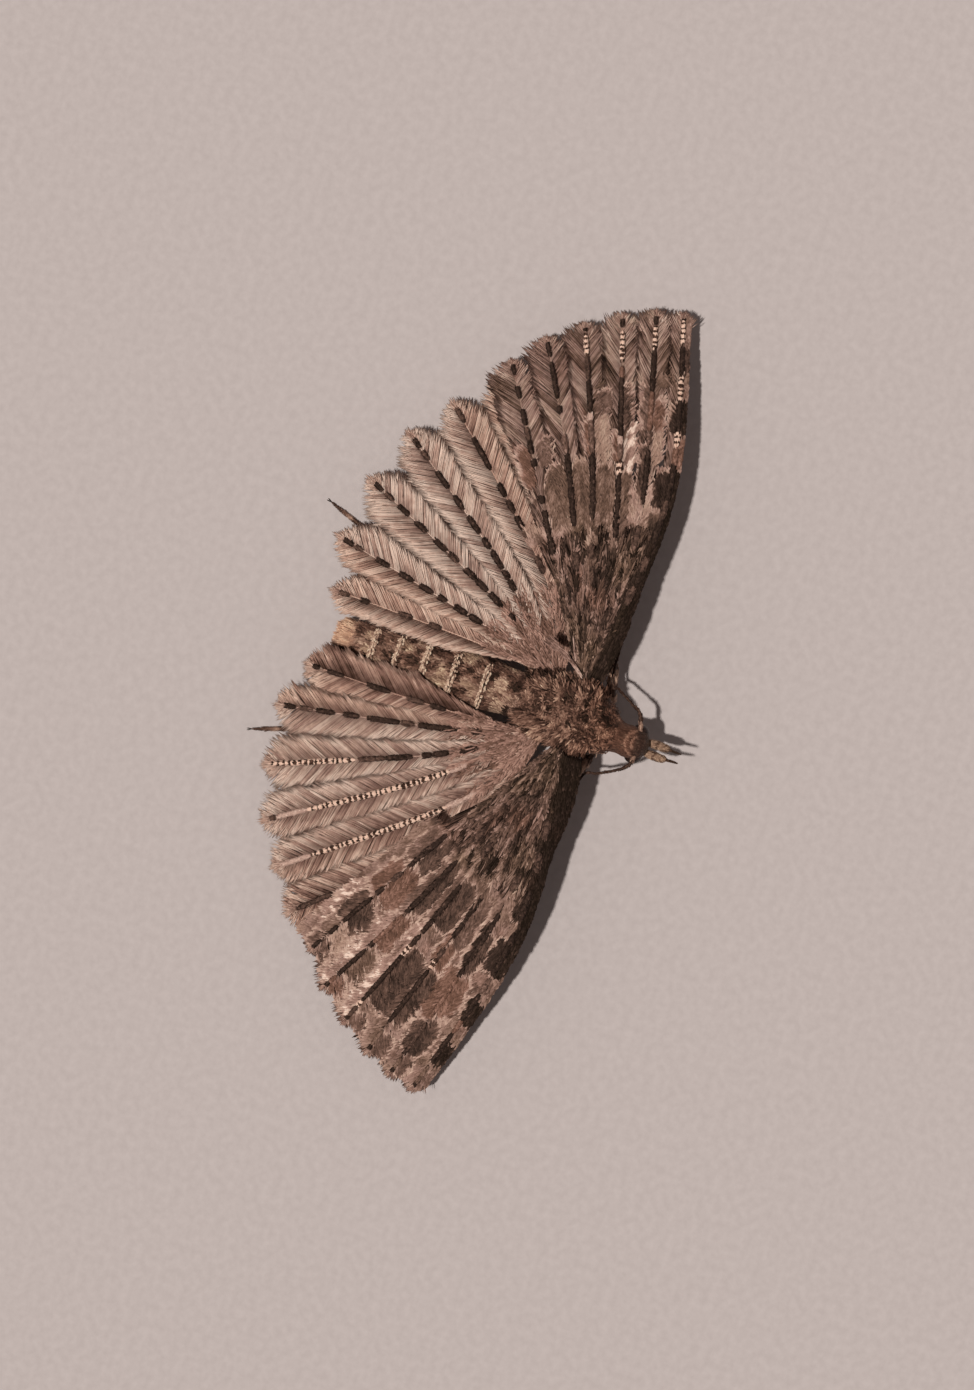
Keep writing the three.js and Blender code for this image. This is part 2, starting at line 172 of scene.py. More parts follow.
# Paper's tooth is about 0.15 mm; it is drawn faintly, as the floor is only a backdrop.
tooth = add(tree, "ShaderNodeTexNoise", {"Vector": where.outputs["Object"], "Scale": 1 / 0.00015,
                                         "Detail": 3.0})
tint = add(tree, "ShaderNodeValToRGB", {"Fac": tooth.outputs["Fac"]},
           stops=[(0.3, "#bab0ad"), (0.7, "#c2b8b5")])
bump = add(tree, "ShaderNodeBump", {"Height": tooth.outputs["Fac"], "Strength": 0.25,
                                    "Distance": 0.00002})
paper_shader = add(tree, "ShaderNodeBsdfPrincipled",
                   {"Base Color": tint.outputs["Color"], "Roughness": 0.9, "IOR": 1.5,
                    "Specular IOR Level": 0.2, "Normal": bump.outputs["Normal"]})
add(tree, "ShaderNodeOutputMaterial", {"Surface": paper_shader.outputs["BSDF"]})

FLOOR_HALF = 0.4
floor_mesh = bpy.data.meshes.new("floor")
corners = [(-FLOOR_HALF, -FLOOR_HALF, 0), (FLOOR_HALF, -FLOOR_HALF, 0),
           (FLOOR_HALF, FLOOR_HALF, 0), (-FLOOR_HALF, FLOOR_HALF, 0)]
floor_mesh.from_pydata(corners, [], [(0, 1, 2, 3)])
floor_mesh.materials.append(paper)
floor = bpy.data.objects.new("floor", floor_mesh)
scene.collection.objects.link(floor)
floor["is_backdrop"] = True
print("floor:", 2 * FLOOR_HALF, "m square")

# %% Lights
LAMP_ELEVATION = 76  # degrees above the floor
LAMP_TURN = VIEW_TURN + 200  # degrees round the upright
lamp_data = bpy.data.lights.new("studio_lamp", "SUN")
lamp_data.energy = 2.74
lamp_data.angle = math.radians(2)
lamp_data.color = (1.0, 0.965, 0.93)
lamp = bpy.data.objects.new("studio_lamp", lamp_data)
lamp.rotation_euler = (0, math.radians(90 - LAMP_ELEVATION), math.radians(LAMP_TURN))
scene.collection.objects.link(lamp)

world = bpy.data.worlds.new("soft_fill")
world.use_nodes = True
world.node_tree.nodes["Background"].inputs["Color"].default_value = (1.0, 0.87, 0.84, 1)
world.node_tree.nodes["Background"].inputs["Strength"].default_value = 0.18
scene.world = world
scene.view_settings.view_transform = "Standard"
print("lamp at", LAMP_ELEVATION, "degrees above the floor")

# %% [markdown]
# ## Building meshes from arrays
# More than a hundred thousand scales can't be modelled one by one, and particle hair is lost
# when a model is exported. So the shapes are worked out as arrays of points, and one function
# turns arrays into a mesh piece that rides on the animal's only body.

# %% Mesh helper
def build(name, points, faces, material, numbers=None, places=None, mirrored=False, smooth=True):
    """A mesh piece from points in mm; numbers are per-point values that the material reads."""
    points = np.array(points, dtype=float)
    if mirrored:
        points[:, 0] *= -1
        faces = [face[::-1] for face in faces]
    mesh = bpy.data.meshes.new(name)
    mesh.from_pydata(in_frame(points).tolist(), [], faces)
    for key, values in (numbers or {}).items():
        layer = mesh.attributes.new(key, "FLOAT", "POINT")
        layer.data.foreach_set("value", np.asarray(values, dtype=np.float32))
    if places is not None:
        corner = np.empty(len(mesh.loops), dtype=np.int32)
        mesh.loops.foreach_get("vertex_index", corner)
        layer = mesh.uv_layers.new(name="OFBake")
        layer.data.foreach_set("uv", places[corner].astype(np.float32).ravel())
    mesh.polygons.foreach_set("use_smooth", np.full(len(mesh.polygons), smooth))
    mesh.materials.append(material)
    piece = bpy.data.objects.new(name, mesh)
    scene.collection.objects.link(piece)
    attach(piece, "root")
    return piece


def unit(vectors):
    """Each row drawn to length 1."""
    return vectors / np.maximum(np.linalg.norm(vectors, axis=-1, keepdims=True), 1e-12)


def length_walked(line):
    """The length walked along a line, at each of its points."""
    return np.concatenate([[0], np.cumsum(np.linalg.norm(np.diff(line, axis=0), axis=1))])


def eased(x, stations, values):
    """A smooth line through a few given values."""
    stations = np.asarray(stations, dtype=float)
    values = np.asarray(values, dtype=float)
    slopes = np.gradient(values, stations)
    k = np.clip(np.searchsorted(stations, x) - 1, 0, len(stations) - 2)
    span = stations[k + 1] - stations[k]
    t = np.clip((x - stations[k]) / span, 0, 1)
    start = (2 * t**3 - 3 * t**2 + 1) * values[k] + (t**3 - 2 * t**2 + t) * span * slopes[k]
    end = (3 * t**2 - 2 * t**3) * values[k + 1] + (t**3 - t**2) * span * slopes[k + 1]
    return start + end


def smooth_step(x, low, high):
    """0 below low, 1 above high, eased between."""
    t = np.clip((x - low) / (high - low), 0, 1)
    return t * t * (3 - 2 * t)


PATCH_TABLE = np.random.default_rng(5).random((64, 64))


def patches(x, y):
    """Smooth random values from 0 to 1, in patches about one unit wide."""
    i = np.floor(x).astype(int)
    j = np.floor(y).astype(int)
    u = smooth_step(x - i, 0, 1)
    v = smooth_step(y - j, 0, 1)
    rows = PATCH_TABLE[i % 64, j % 64] * (1 - u) + PATCH_TABLE[(i + 1) % 64, j % 64] * u
    above = PATCH_TABLE[i % 64, (j + 1) % 64] * (1 - u) + PATCH_TABLE[(i + 1) % 64, (j + 1) % 64] * u
    return rows * (1 - v) + above * v


print("patch values:", patches(np.array([0.2, 3.4]), np.array([0.5, 1.5])).round(2))

# %% [markdown]
# ## One blade, many times
# A moth's scale is a flat blade with a stalk, and its fringe hair is the same thing drawn out.
# Both are made here as a closed three-sided blade with a root, a shoulder and a tip. That takes
# ten triangles, few enough for coats of many thousands in one mesh. The texture map gives each
# blade a tiny square at the place where the blade grows, so that a baked picture of the coat
# can keep the animal's markings.

# %% Blades
RING_ALONG = np.array([0.0, 0.7, 1.0])
POINT_RING = np.array([0, 0, 0, 1, 1, 1, 2])
POINT_ACROSS = np.array([0, 0.5, 1, 0, 0.5, 1, 0.5])
BLADE_TRIANGLES = np.array([(0, 2, 1), (3, 4, 6), (4, 5, 6), (5, 3, 6)])
BLADE_QUADS = np.array([(0, 1, 4, 3), (1, 2, 5, 4), (2, 0, 3, 5)])
POINTS = len(POINT_RING)
TRIANGLES = len(BLADE_TRIANGLES) + 2 * len(BLADE_QUADS)
HAIR = (0.8, 1.0)
SCALE = (0.4, 1.0)
PLACE_SIZE = 0.003
UP = np.array([0, 0, 1.0])


def column(value, count):
    """A number or one number per blade, as a column."""
    return np.broadcast_to(np.asarray(value, dtype=float), (count,))[:, None]


def at_points(value, count):
    """A number, or one per blade, or three along each blade, as seven per blade."""
    value = np.asarray(value, dtype=float)
    if value.ndim == 2:
        return value[:, POINT_RING]
    return np.repeat(column(value, count), POINTS, axis=1)


def blades(root, way, up, length, width, tone, warm, place, form=HAIR, arch=0.0, droop=0.0,
           bend=0.0, thick=0.35):
    """Blades from their roots along way: their points, and the numbers each one carries."""
    count = len(root)
    length, width = column(length, count), column(width, count)
    arch, droop, bend = (column(value, count) for value in (arch, droop, bend))
    way = unit(way)
    side = unit(np.cross(way, up))
    over = np.cross(side, way)
    points = np.empty((count, POINTS, 3))

    def middle(share):
        rise = 4 * arch * share * (1 - share) - droop * share**2
        return root + length * (way * share + over * rise + side * bend * share**2)

    for ring, fullness in enumerate(form):
        centre = middle(RING_ALONG[ring])
        half = 0.5 * width * fullness
        points[:, 3 * ring] = centre - side * half
        points[:, 3 * ring + 1] = centre + over * thick * 2 * half
        points[:, 3 * ring + 2] = centre + side * half
    points[:, -1] = middle(1.0)
    return {
        "points": points,
        "tone": at_points(tone, count),
        "warm": at_points(warm, count),
        "place": np.asarray(place),
    }


def coat(name, sets, material, mirrored=False, smooth=True):
    """One piece from several sets of blades."""
    points = np.concatenate([blade["points"] for blade in sets])
    count = len(points)
    offset = POINTS * np.arange(count)[:, None, None]
    triangles = (BLADE_TRIANGLES[None] + offset).reshape(-1, 3).tolist()
    quads = (BLADE_QUADS[None] + offset).reshape(-1, 4).tolist()
    numbers = {
        key: np.concatenate([blade[key] for blade in sets]).ravel()
        for key in ("tone", "warm")
    }
    numbers["along"] = np.tile(RING_ALONG[POINT_RING], count)
    square = PLACE_SIZE * np.stack([POINT_ACROSS, RING_ALONG[POINT_RING]], axis=1)
    place = np.concatenate([blade["place"] for blade in sets])
    places = (place[:, None, :] * (1 - 2 * PLACE_SIZE) + square[None]).reshape(-1, 2)
    piece = build(name, points.reshape(-1, 3), triangles + quads, material, numbers, places,
                  mirrored, smooth)
    print(name + ":", count, "blades,", TRIANGLES * count, "triangles")
    return piece


print("one blade:", POINTS, "points,", TRIANGLES, "triangles")

# %% [markdown]
# ## What colours the scales
# Moth scales are dry chitin with pigment, laid like shingles. Chitin is a clear plastic-like
# stuff, IOR about 1.56, and its ridges give a satin gloss with small bright glints. Every
# scale lies between blackish brown and pale cream, and may lean to copper or to olive, so each
# blade carries the two numbers tone and warm, which the material turns into colour. The skin
# below carries the same two numbers, so what shows between the scales has their colour.

# %% Chitin finish
def scale_chitin(name, tones, roughness, sheen, mottle_mm, mottle=0.35, pale_tips=0.1):
    """Scales of dry pigmented chitin; mottle_mm and mottle are the flecks' width and strength."""
    material, tree = new_material(name)
    where = add(tree, "ShaderNodeTexCoord")
    tone = add(tree, "ShaderNodeAttribute", attribute_name="tone")
    warm = add(tree, "ShaderNodeAttribute", attribute_name="warm")
    along = add(tree, "ShaderNodeAttribute", attribute_name="along")
    # Pigment flecks are about as wide as a scale, or on hairs as a strand of them.
    flecks = add(tree, "ShaderNodeTexNoise", {"Vector": where.outputs["Object"],
                                              "Scale": 1 / (mottle_mm * MM), "Detail": 2.0})
    centred = add(tree, "ShaderNodeMath", {0: flecks.outputs["Fac"], 1: 0.5}, operation="SUBTRACT")
    spread = add(tree, "ShaderNodeMath", {0: centred.outputs[0], 1: mottle, 2: tone.outputs["Fac"]},
                 operation="MULTIPLY_ADD")
    tip = add(tree, "ShaderNodeMath", {0: along.outputs["Fac"], 1: 2.0}, operation="POWER")
    lit = add(tree, "ShaderNodeMath", {0: tip.outputs[0], 1: pale_tips, 2: spread.outputs[0]},
              operation="MULTIPLY_ADD")
    pigment = add(tree, "ShaderNodeValToRGB", {"Fac": lit.outputs[0]}, stops=tones)
    copper_share = add(tree, "ShaderNodeMath", {0: warm.outputs["Fac"], 1: 1.0},
                       operation="MULTIPLY", use_clamp=True)
    copper = add(tree, "ShaderNodeMix", {0: copper_share.outputs[0], 6: pigment.outputs["Color"],
                                         7: linear("#ffd2b0")},
                 data_type="RGBA", blend_type="MULTIPLY")
    olive_share = add(tree, "ShaderNodeMath", {0: warm.outputs["Fac"], 1: -1.0},
                      operation="MULTIPLY", use_clamp=True)
    olive = add(tree, "ShaderNodeMix", {0: olive_share.outputs[0], 6: copper.outputs[2],
                                        7: linear("#ecf2d8")},
                data_type="RGBA", blend_type="MULTIPLY")
    rough = add(tree, "ShaderNodeMapRange", {"Value": flecks.outputs["Fac"], "From Min": 0.3,
                                             "From Max": 0.7, "To Min": roughness - 0.08,
                                             "To Max": roughness + 0.08})
    shader = add(tree, "ShaderNodeBsdfPrincipled",
                 {"Base Color": olive.outputs[2], "Roughness": rough.outputs["Result"],
                  "IOR": 1.56, "Specular IOR Level": 0.22, "Specular Tint": linear("#e0b898"),
                  "Sheen Weight": sheen, "Sheen Roughness": 0.4, "Sheen Tint": linear("#e8d4c0")})
    add(tree, "ShaderNodeOutputMaterial", {"Surface": shader.outputs["BSDF"]})
    return material


WING_TONES = [(0.0, "#140e0c"), (0.95, "#eed6c6"), (0.2, "#3a2c27"), (0.4, "#70564b"),
              (0.6, "#a8877b"), (0.8, "#d0b1a1")]
wing_chitin = scale_chitin("wing_scale_chitin", WING_TONES, 0.6, 0.0, 0.05, mottle=0.24)
# Hindwing hairs get paler tips: partly their own colour, partly painted light where two plumes' hairs meet.
HAIR_CHITIN = {
    "forewing": scale_chitin("short_hair_chitin", WING_TONES, 0.6, 0.0, 0.12, pale_tips=0.04),
    "hindwing": scale_chitin("long_hair_chitin", WING_TONES, 0.55, 0.0, 0.12, pale_tips=0.14),
}
print("finishes:", wing_chitin.name, [hair.name for hair in HAIR_CHITIN.values()])

# %% [markdown]
# ## The lines of the wing shafts
# The shafts are the same lines as in the solids: each leaves the wing's root line, turns over
# a knee and runs nearly straight to its tip. A smooth cubic line, walked by its length, gives
# for any share of the way the place, the direction and the level direction to the front.

# %% Shaft lines
PLUMES = 6
FOREWING = {
    "name": "forewing",
    "root": (0.6, 1.19, 1.75),
    "root_step": (0, -0.03, -0.01),
    "plumes": [
        ((4.1, 1.62, 1.72), (7.33, 0.66, 0.58)),
        ((3.3, 1.3, 1.72), (7.21, 0.19, 0.6)),
        ((3.1, 0.9, 1.7), (6.96, -0.35, 0.62)),
        ((3.75, 0.24, 1.65), (6.58, -0.92, 0.66)),
        ((3.73, -0.15, 1.6), (6.12, -1.47, 0.7)),
        ((3.08, -0.45, 1.56), (5.53, -1.92, 0.76)),
    ],
    "open": {"left": 0.5, "right": -0.5},
    "shift": -0.06,
    "front_reach": 0.0,
    "rear_reach": {"left": 0.5, "right": 0.5},
    "longest": 0.42,
    "fringe_from": 0.28,
    "membrane": 0.38,
    "front_turns_least": True,
}
HINDWING = {
    "name": "hindwing",
    "root": (0.56, 0.76, 0.99),
    "root_step": (0, -0.06, 0.01),
    "plumes": [
        ((2.5, 0.35, 0.8), (5.12, -2.25, 0.3)),
        ((2.0, 0.12, 0.92), (4.41, -2.79, 0.45)),
        ((1.97, -0.8, 1.02), (3.66, -3.3, 0.6)),
        ((1.4, -0.6, 1.15), (2.68, -3.62, 0.75)),
        ((0.92, -0.5, 1.22), (1.58, -3.77, 0.85)),
        ((0.68, -1.2, 1.3), (0.7, -3.52, 0.95)),
    ],
    "open": {"left": -2.4, "right": 2.4},
    "shift": 0.02,
    "front_reach": 0.46,
    "rear_reach": {"left": 0.36, "right": 0.5},
    "longest": 0.68,
    "fringe_from": 0.16,
    "membrane": 0.22,
    "front_turns_least": False,
}


def shaft_line(wing, side, k):
    """The line of plume k: its points, and the length walked at each."""
    share = k / (PLUMES - 1) if wing["front_turns_least"] else 1 - k / (PLUMES - 1)
    turn = math.radians(-wing["open"][side] * share)
    shift = wing["shift"] if side == "right" else -wing["shift"]
    pivot = np.array(wing["root"][:2])
    turned = np.array([[math.cos(turn), math.sin(turn)], [-math.sin(turn), math.cos(turn)]])

    def placed(point):
        flat = (np.array(point[:2]) - pivot) @ turned + pivot
        return np.array([flat[0] + shift, flat[1], point[2]])

    root = np.array(wing["root"]) + k * np.array(wing["root_step"])
    knee = placed(wing["plumes"][k][0])
    tip = placed(wing["plumes"][k][1])
    t = np.linspace(0, 1, 400)[:, None]
    line = (1 - t)**3 * root + 3 * t * (1 - t) * knee + t**3 * tip
    walked = length_walked(line)
    return {"line": line, "walked": walked, "length": walked[-1]}


def on_shaft(shaft, share):
    """Place, direction and level direction to the front, at shares of a shaft's length."""
    def place(at):
        return np.stack([np.interp(at, shaft["walked"], shaft["line"][:, i]) for i in range(3)],
                        axis=-1)

    at = np.clip(share, 0, 1) * shaft["length"]
    step = 0.02
    along = unit(place(np.minimum(at + step, shaft["length"])) - place(np.maximum(at - step, 0)))
    front = unit(np.cross(UP, along))
    beyond = (np.maximum(share, 1) - 1) * shaft["length"]
    return place(at) + along * beyond[..., None], along, front


SHAFTS = {
    (wing["name"], side): [shaft_line(wing, side, k) for k in range(PLUMES)]
    for wing in (FOREWING, HINDWING)
    for side in ("left", "right")
}
for key, shafts in SHAFTS.items():
    print(*key, "shaft lengths, mm:", [round(shaft["length"], 2) for shaft in shafts])

# %% [markdown]
# ## Wing markings
# Along most shafts run dark dashes, along a few pale and dark beads, and on the forewing the
# dashes widen into blotches that cross from plume to plume, each with a pale rim. The pale
# beads are partly the scales' own pale bands and partly painted glints, and the bright flecks
# in cream patches and on the hindwing's hairs are painted glints. Near the root the forewing's
# front turns blackish, partly its own band and partly painted shade. The markings are written
# once, as stretches measured from a plume's tip in millimetres. Skin, scales and hairs all ask
# the same functions.

# %% Tones and stretches
TONES = {
    "black": (0.07, -0.2),
    "dark": (0.1, 0.0),
    "umber": (0.23, 0.0),
    "brown": (0.34, 0.0),
    "olive": (0.36, -0.25),
    "red": (0.38, 0.3),
    "tan": (0.58, -0.3),
    "pale": (0.68, 0.0),
    # cream is the ground of glinting patches; their bright flecks are painted glints
    "cream": (0.5, 0.05),
    # beads: the pale ones are partly the scales' own pale bands and partly painted glints
    "beads": (0.92, 0.3),
}
BEAD_PITCH = 0.1
SHAFT_MARKS = {
    ("forewing", "left"): [
        [(0, .1, "dark"), (.1, .55, "beads"), (.6, 1.15, "dark"), (1.15, 1.6, "beads"),
         (1.65, 2.2, "dark"), (2.25, 2.5, "beads"), (2.55, 2.85, "red"), (2.85, 3.55, "dark"),
         (3.55, 3.85, "umber"),
         (3.9, 4.3, "dark"), (4.6, 4.85, "umber"), (5.2, 5.5, "umber")],
        [(.05, .2, "dark"), (.25, .68, "beads"), (.7, 1.45, "dark"), (1.5, 2.2, "red"),
         (2.25, 2.45, "brown"), (2.6, 3.55, "dark"), (4.0, 4.4, "umber")],
        [(.05, .2, "dark"), (.3, .85, "beads"), (.95, 1.15, "red"), (1.15, 2.25, "dark"),
         (2.25, 2.4, "pale"), (2.4, 2.65, "brown"), (2.7, 2.95, "beads"), (3.0, 4.1, "dark")],
        [(0, .1, "dark"), (.15, .55, "beads"), (.6, 1.0, "umber"), (1.05, 1.65, "dark"),
         (1.65, 1.8, "pale"), (1.8, 2.4, "brown"), (2.45, 3.6, "dark"), (4.1, 4.3, "umber")],
        [(0, .3, "dark"), (.45, 1.1, "dark"), (1.28, 1.4, "dark"), (1.85, 2.15, "brown"),
         (2.2, 3.5, "dark"), (4.0, 4.3, "umber")],
        [(.02, .2, "dark"), (.45, .65, "dark"), (.9, 1.18, "dark"), (1.25, 1.48, "umber"),
         (1.5, 1.72, "dark"), (1.85, 1.97, "dark"), (2.55, 2.65, "dark"), (2.83, 3.6, "dark")],
    ],
    ("forewing", "right"): [
        [(0, .12, "dark"), (.15, .5, "olive"), (.65, 1.3, "dark"), (1.35, 1.6, "red"),
         (1.62, 2.2, "dark"), (2.3, 2.55, "brown"), (2.65, 3.5, "dark"), (3.8, 4.3, "dark"),
         (4.7, 5.0, "umber"), (5.3, 5.6, "umber")],
        [(0, .12, "dark"), (.15, .35, "olive"), (.45, .6, "dark"), (.6, 1.15, "umber"),
         (1.3, 2.2, "red"), (2.25, 2.4, "dark"), (2.6, 3.6, "dark"), (4.1, 4.4, "umber")],
        [(0, .12, "dark"), (.15, .45, "olive"), (.7, 1.87, "dark"), (1.95, 2.15, "beads"),
         (2.2, 2.4, "umber"), (2.65, 3.6, "dark")],
        [(0, .12, "dark"), (.15, .35, "umber"), (.4, .5, "beads"), (.53, 1.69, "dark"),
         (1.7, 1.93, "beads"), (1.95, 2.15, "dark"), (2.25, 3.35, "dark"), (4.0, 4.3, "umber")],
        [(0, .12, "dark"), (.15, .3, "red"), (.39, 1.05, "dark"), (1.18, 1.28, "dark"),
         (1.3, 2.0, "red"), (2.1, 3.4, "dark"), (3.9, 4.2, "umber")],
        [(0, .2, "dark"), (.45, .62, "dark"), (.78, 1.45, "dark"), (1.6, 1.75, "dark"),
         (2.0, 2.2, "umber"), (2.4, 3.25, "dark")],
    ],
    ("hindwing", "left"): [
        [(0, .165, "dark"), (.33, .48, "dark"), (.73, 1.39, "dark"), (1.68, 2.31, "dark"),
         (2.44, 2.9, "dark"), (3.2, 3.6, "umber")],
        [(0, .3, "umber"), (.65, 1.28, "dark"), (1.62, 1.85, "dark"), (1.97, 2.18, "dark"),
         (2.28, 2.52, "dark"), (2.6, 2.78, "umber"), (3.1, 3.4, "umber")],
        [(.07, .24, "dark"), (.34, .5, "umber"), (.8, 1.15, "dark"), (1.35, 1.6, "dark"),
         (1.8, 2.13, "dark"), (2.28, 2.46, "dark"), (2.56, 2.9, "dark"), (2.98, 3.12, "dark"),
         (3.18, 3.35, "dark")],
        [(0, .2, "dark"), (.3, .46, "umber"), (.6, .86, "dark"), (1.04, 1.3, "dark"),
         (1.52, 1.8, "dark"), (1.88, 2.08, "umber"), (2.28, 2.52, "dark"), (2.58, 2.8, "dark"),
         (2.9, 3.2, "dark"), (3.42, 3.55, "dark")],
        [(0, .2, "dark"), (.27, .38, "umber"), (.7, .95, "dark"), (1.2, 1.45, "dark"),
         (1.62, 1.86, "dark"), (2.0, 2.16, "dark"), (2.35, 2.6, "dark"), (2.68, 2.9, "dark")],
        [(0, .18, "umber"), (.42, .58, "dark"), (1.15, 1.4, "umber"), (1.75, 1.95, "umber")],
    ],
    # The right hindwing's bead rows are partly painted glints, where its shafts catch the lamp.
    ("hindwing", "right"): [
        [(.1, .8, "umber"), (.9, 1.8, "pale"), (2.2, 3.1, "dark")],
        [(0, .6, "pale"), (.64, 3.2, "beads"), (3.22, 3.8, "pale")],
        [(0, .14, "umber"), (.16, .72, "pale"), (.75, 3.4, "beads"), (3.42, 3.75, "pale")],
        [(.02, 1.5, "beads"), (1.6, 2.05, "umber"), (2.1, 2.55, "dark"), (2.75, 2.9, "dark"),
         (2.94, 3.2, "dark"), (3.45, 3.75, "dark")],
        [(0, .2, "dark"), (.28, .5, "umber"), (.6, .92, "dark"), (1.1, 1.36, "dark"),
         (1.52, 2.1, "dark"), (2.16, 2.36, "umber"), (2.45, 3.2, "dark"), (3.42, 3.58, "dark")],
        [(0, .13, "dark"), (.3, .57, "dark"), (1.05, 1.45, "dark"), (1.8, 2.1, "umber"),
         (2.25, 2.5, "dark")],
    ],
}
GAP_PATCHES = {  # gap, start and end from the tip, start and end across the gap, tone
    "left": [
        (0, .6, 1.12, -.2, 1.3, "umber"), (0, 1.66, 2.28, -.2, 1.3, "black"),
        (0, 2.32, 2.9, -.2, 1.2, "red"), (0, 2.92, 4.6, -.2, 1.3, "black"),
        (1, .55, 1.4, .15, .95, "olive"), (1, 1.7, 2.28, -.3, .28, "dark"),
        (1, 1.6, 2.25, .5, .96, "red"), (1, 2.2, 2.85, .5, .92, "tan"),
        (1, 2.93, 3.62, -.2, .68, "dark"), (1, 3.7, 4.4, .0, .8, "olive"),
        (2, .35, .75, .2, .7, "brown"), (2, .8, 1.05, .6, .9, "umber"),
        (2, 1.3, 2.1, .66, 1.05, "umber"), (2, 1.25, 2.3, .02, .3, "brown"),
        (2, 2.0, 2.9, .45, .8, "cream"), (2, 2.4, 3.4, -.1, .3, "umber"),
        (2, 2.9, 4.0, .55, 1.0, "olive"),
        (3, .55, 1.25, .42, .98, "olive"), (3, 1.3, 1.72, .2, .95, "brown"),
        (3, 1.74, 2.62, .32, .92, "tan"), (3, 2.1, 2.68, -.05, .24, "red"),
        (3, 2.64, 3.6, .12, .98, "olive"),
        (4, 1.7, 2.4, -.1, .22, "red"), (4, 2.4, 3.62, .06, .98, "olive"),
        (4, 3.66, 4.1, .0, .7, "tan"),
        (5, 1.6, 2.1, .4, .9, "brown"), (5, 2.15, 3.5, .04, .88, "olive"),
        (5, 3.6, 4.0, .2, .9, "tan"),
        (6, .25, .62, .1, .7, "olive"), (6, 1.6, 2.4, .0, .6, "red"),
    ],
    "right": [
        (0, .1, .46, -.2, 1.3, "brown"), (0, .6, 1.13, -.2, 1.3, "black"),
        (0, 1.55, 2.08, -.2, 1.3, "black"), (0, 2.25, 2.5, -.2, 1.2, "brown"),
        (0, 2.62, 4.6, -.2, 1.3, "black"),
        (1, .62, 1.12, -.3, .1, "black"), (1, 1.54, 2.08, -.4, .16, "black"),
        (1, .03, .43, .5, .98, "brown"), (1, .5, 1.28, .42, 1.1, "umber"),
        (1, 1.36, 2.28, .42, 1.25, "red"), (1, 2.55, 3.25, -.1, .52, "dark"),
        (1, 2.34, 3.18, .58, 1.08, "umber"), (1, 3.64, 4.16, -.05, .52, "dark"),
        (2, .02, .5, .48, .98, "brown"), (2, .5, 1.15, -.1, .34, "umber"),
        (2, 1.2, 2.24, -.25, .58, "red"), (2, .74, 1.94, .5, 1.1, "umber"),
        (2, 1.98, 2.5, .6, .98, "red"), (2, 2.34, 3.3, -.1, .26, "dark"),
        (2, 2.5, 3.6, .36, 1.0, "brown"),
        (3, .02, .34, .45, .98, "brown"), (3, .6, 1.9, .04, 1.1, "umber"),
        (3, 2.0, 2.66, -.1, .2, "red"), (3, 2.45, 3.5, .2, 1.05, "umber"),
        (4, .0, 2.3, .02, .42, "cream"), (4, .02, .36, .55, .98, "red"),
        (4, .44, 1.18, .48, 1.02, "olive"), (4, 1.27, 2.06, .48, 1.0, "red"),
        (4, 2.2, 3.52, .44, 1.1, "umber"), (4, 2.4, 3.4, .02, .4, "brown"),
        (5, .0, 1.7, .02, .4, "cream"), (5, .0, .36, .55, 1.0, "brown"),
        (5, .42, .76, .5, .94, "tan"), (5, .8, 1.44, .48, 1.02, "umber"),
        (5, 1.6, 2.46, .3, 1.05, "red"), (5, 2.5, 3.32, .4, 1.0, "umber"),
        (5, 1.9, 3.1, .0, .34, "brown"),
        (6, .0, .34, .0, .5, "brown"), (6, .75, 1.5, .0, .6, "umber"),
        (6, .38, 1.6, .62, 1.0, "cream"),
        (6, 1.6, 2.35, .0, .7, "red"), (6, 2.5, 3.25, .0, .7, "brown"),
    ],
}
FOREWING_GROUND = {  # between the patches: tone, rim's tone and width in mm
    "left": (0.59, 0.61, 0.02),
    "right": (0.42, 0.66, 0.045),
}
HINDWING_GROUND = {  # tone and warmth of each gap, from the front one to the rear edge
    "left": [(.6, .3), (.66, .25), (.76, .1), (.74, .05), (.76, .1), (.72, .25), (.7, .2)],
    "right": [(.54, .3), (.58, .2), (.64, .12), (.67, .08), (.68, .1), (.58, .25), (.47, .25)],
}
# Near the base a forewing's front turns blackish: partly its own dark band, partly painted shade on its
# front edge, which faces away from the lamp, more on the left wing.
DARK_BAND_AND_SHADE = {"left": (0.75, 0.35), "right": (0.45, 0.1)}  # gaps from the front shaft, fading in
BASE_FROM = 0.52  # share of the way from tip to root where the mottled base begins
GAP_WIDTH = 0.45  # mm between two shafts, over most of the wing
EDGE_WANDER = 0.1  # mm that a patch's outline wanders


def paint(from_tip, marks, tone, warm):
    """Lays stretches of tone over tone and warm."""
    for start, end, name in marks:
        inside = (from_tip > start) & (from_tip < end)
        colour = np.full(inside.sum(), TONES[name][0])
        # Pale beads are partly the shaft scales' own pale bands and partly painted glints.
        if name == "beads":
            beat = from_tip[inside] / BEAD_PITCH
            beat = beat + 0.8 * patches(from_tip[inside] / 0.19 + 5 * start, np.full(len(beat), 0.5))
            colour -= 0.75 * (np.modf(beat)[0] > 0.5)
        tone[inside] = colour
        warm[inside] = TONES[name][1]


def in_patch(from_tip, across, patch, margin):
    """True inside a rounded patch of a gap, or inside its rim with a margin in mm."""
    _, start, end, low, high, _ = patch
    along = (from_tip - 0.5 * (start + end)) / (0.5 * (end - start) + margin)
    beside = (across - 0.5 * (low + high)) / (0.5 * (high - low) + margin / GAP_WIDTH)
    return np.abs(along) ** 3 + np.abs(beside) ** 3 < 1


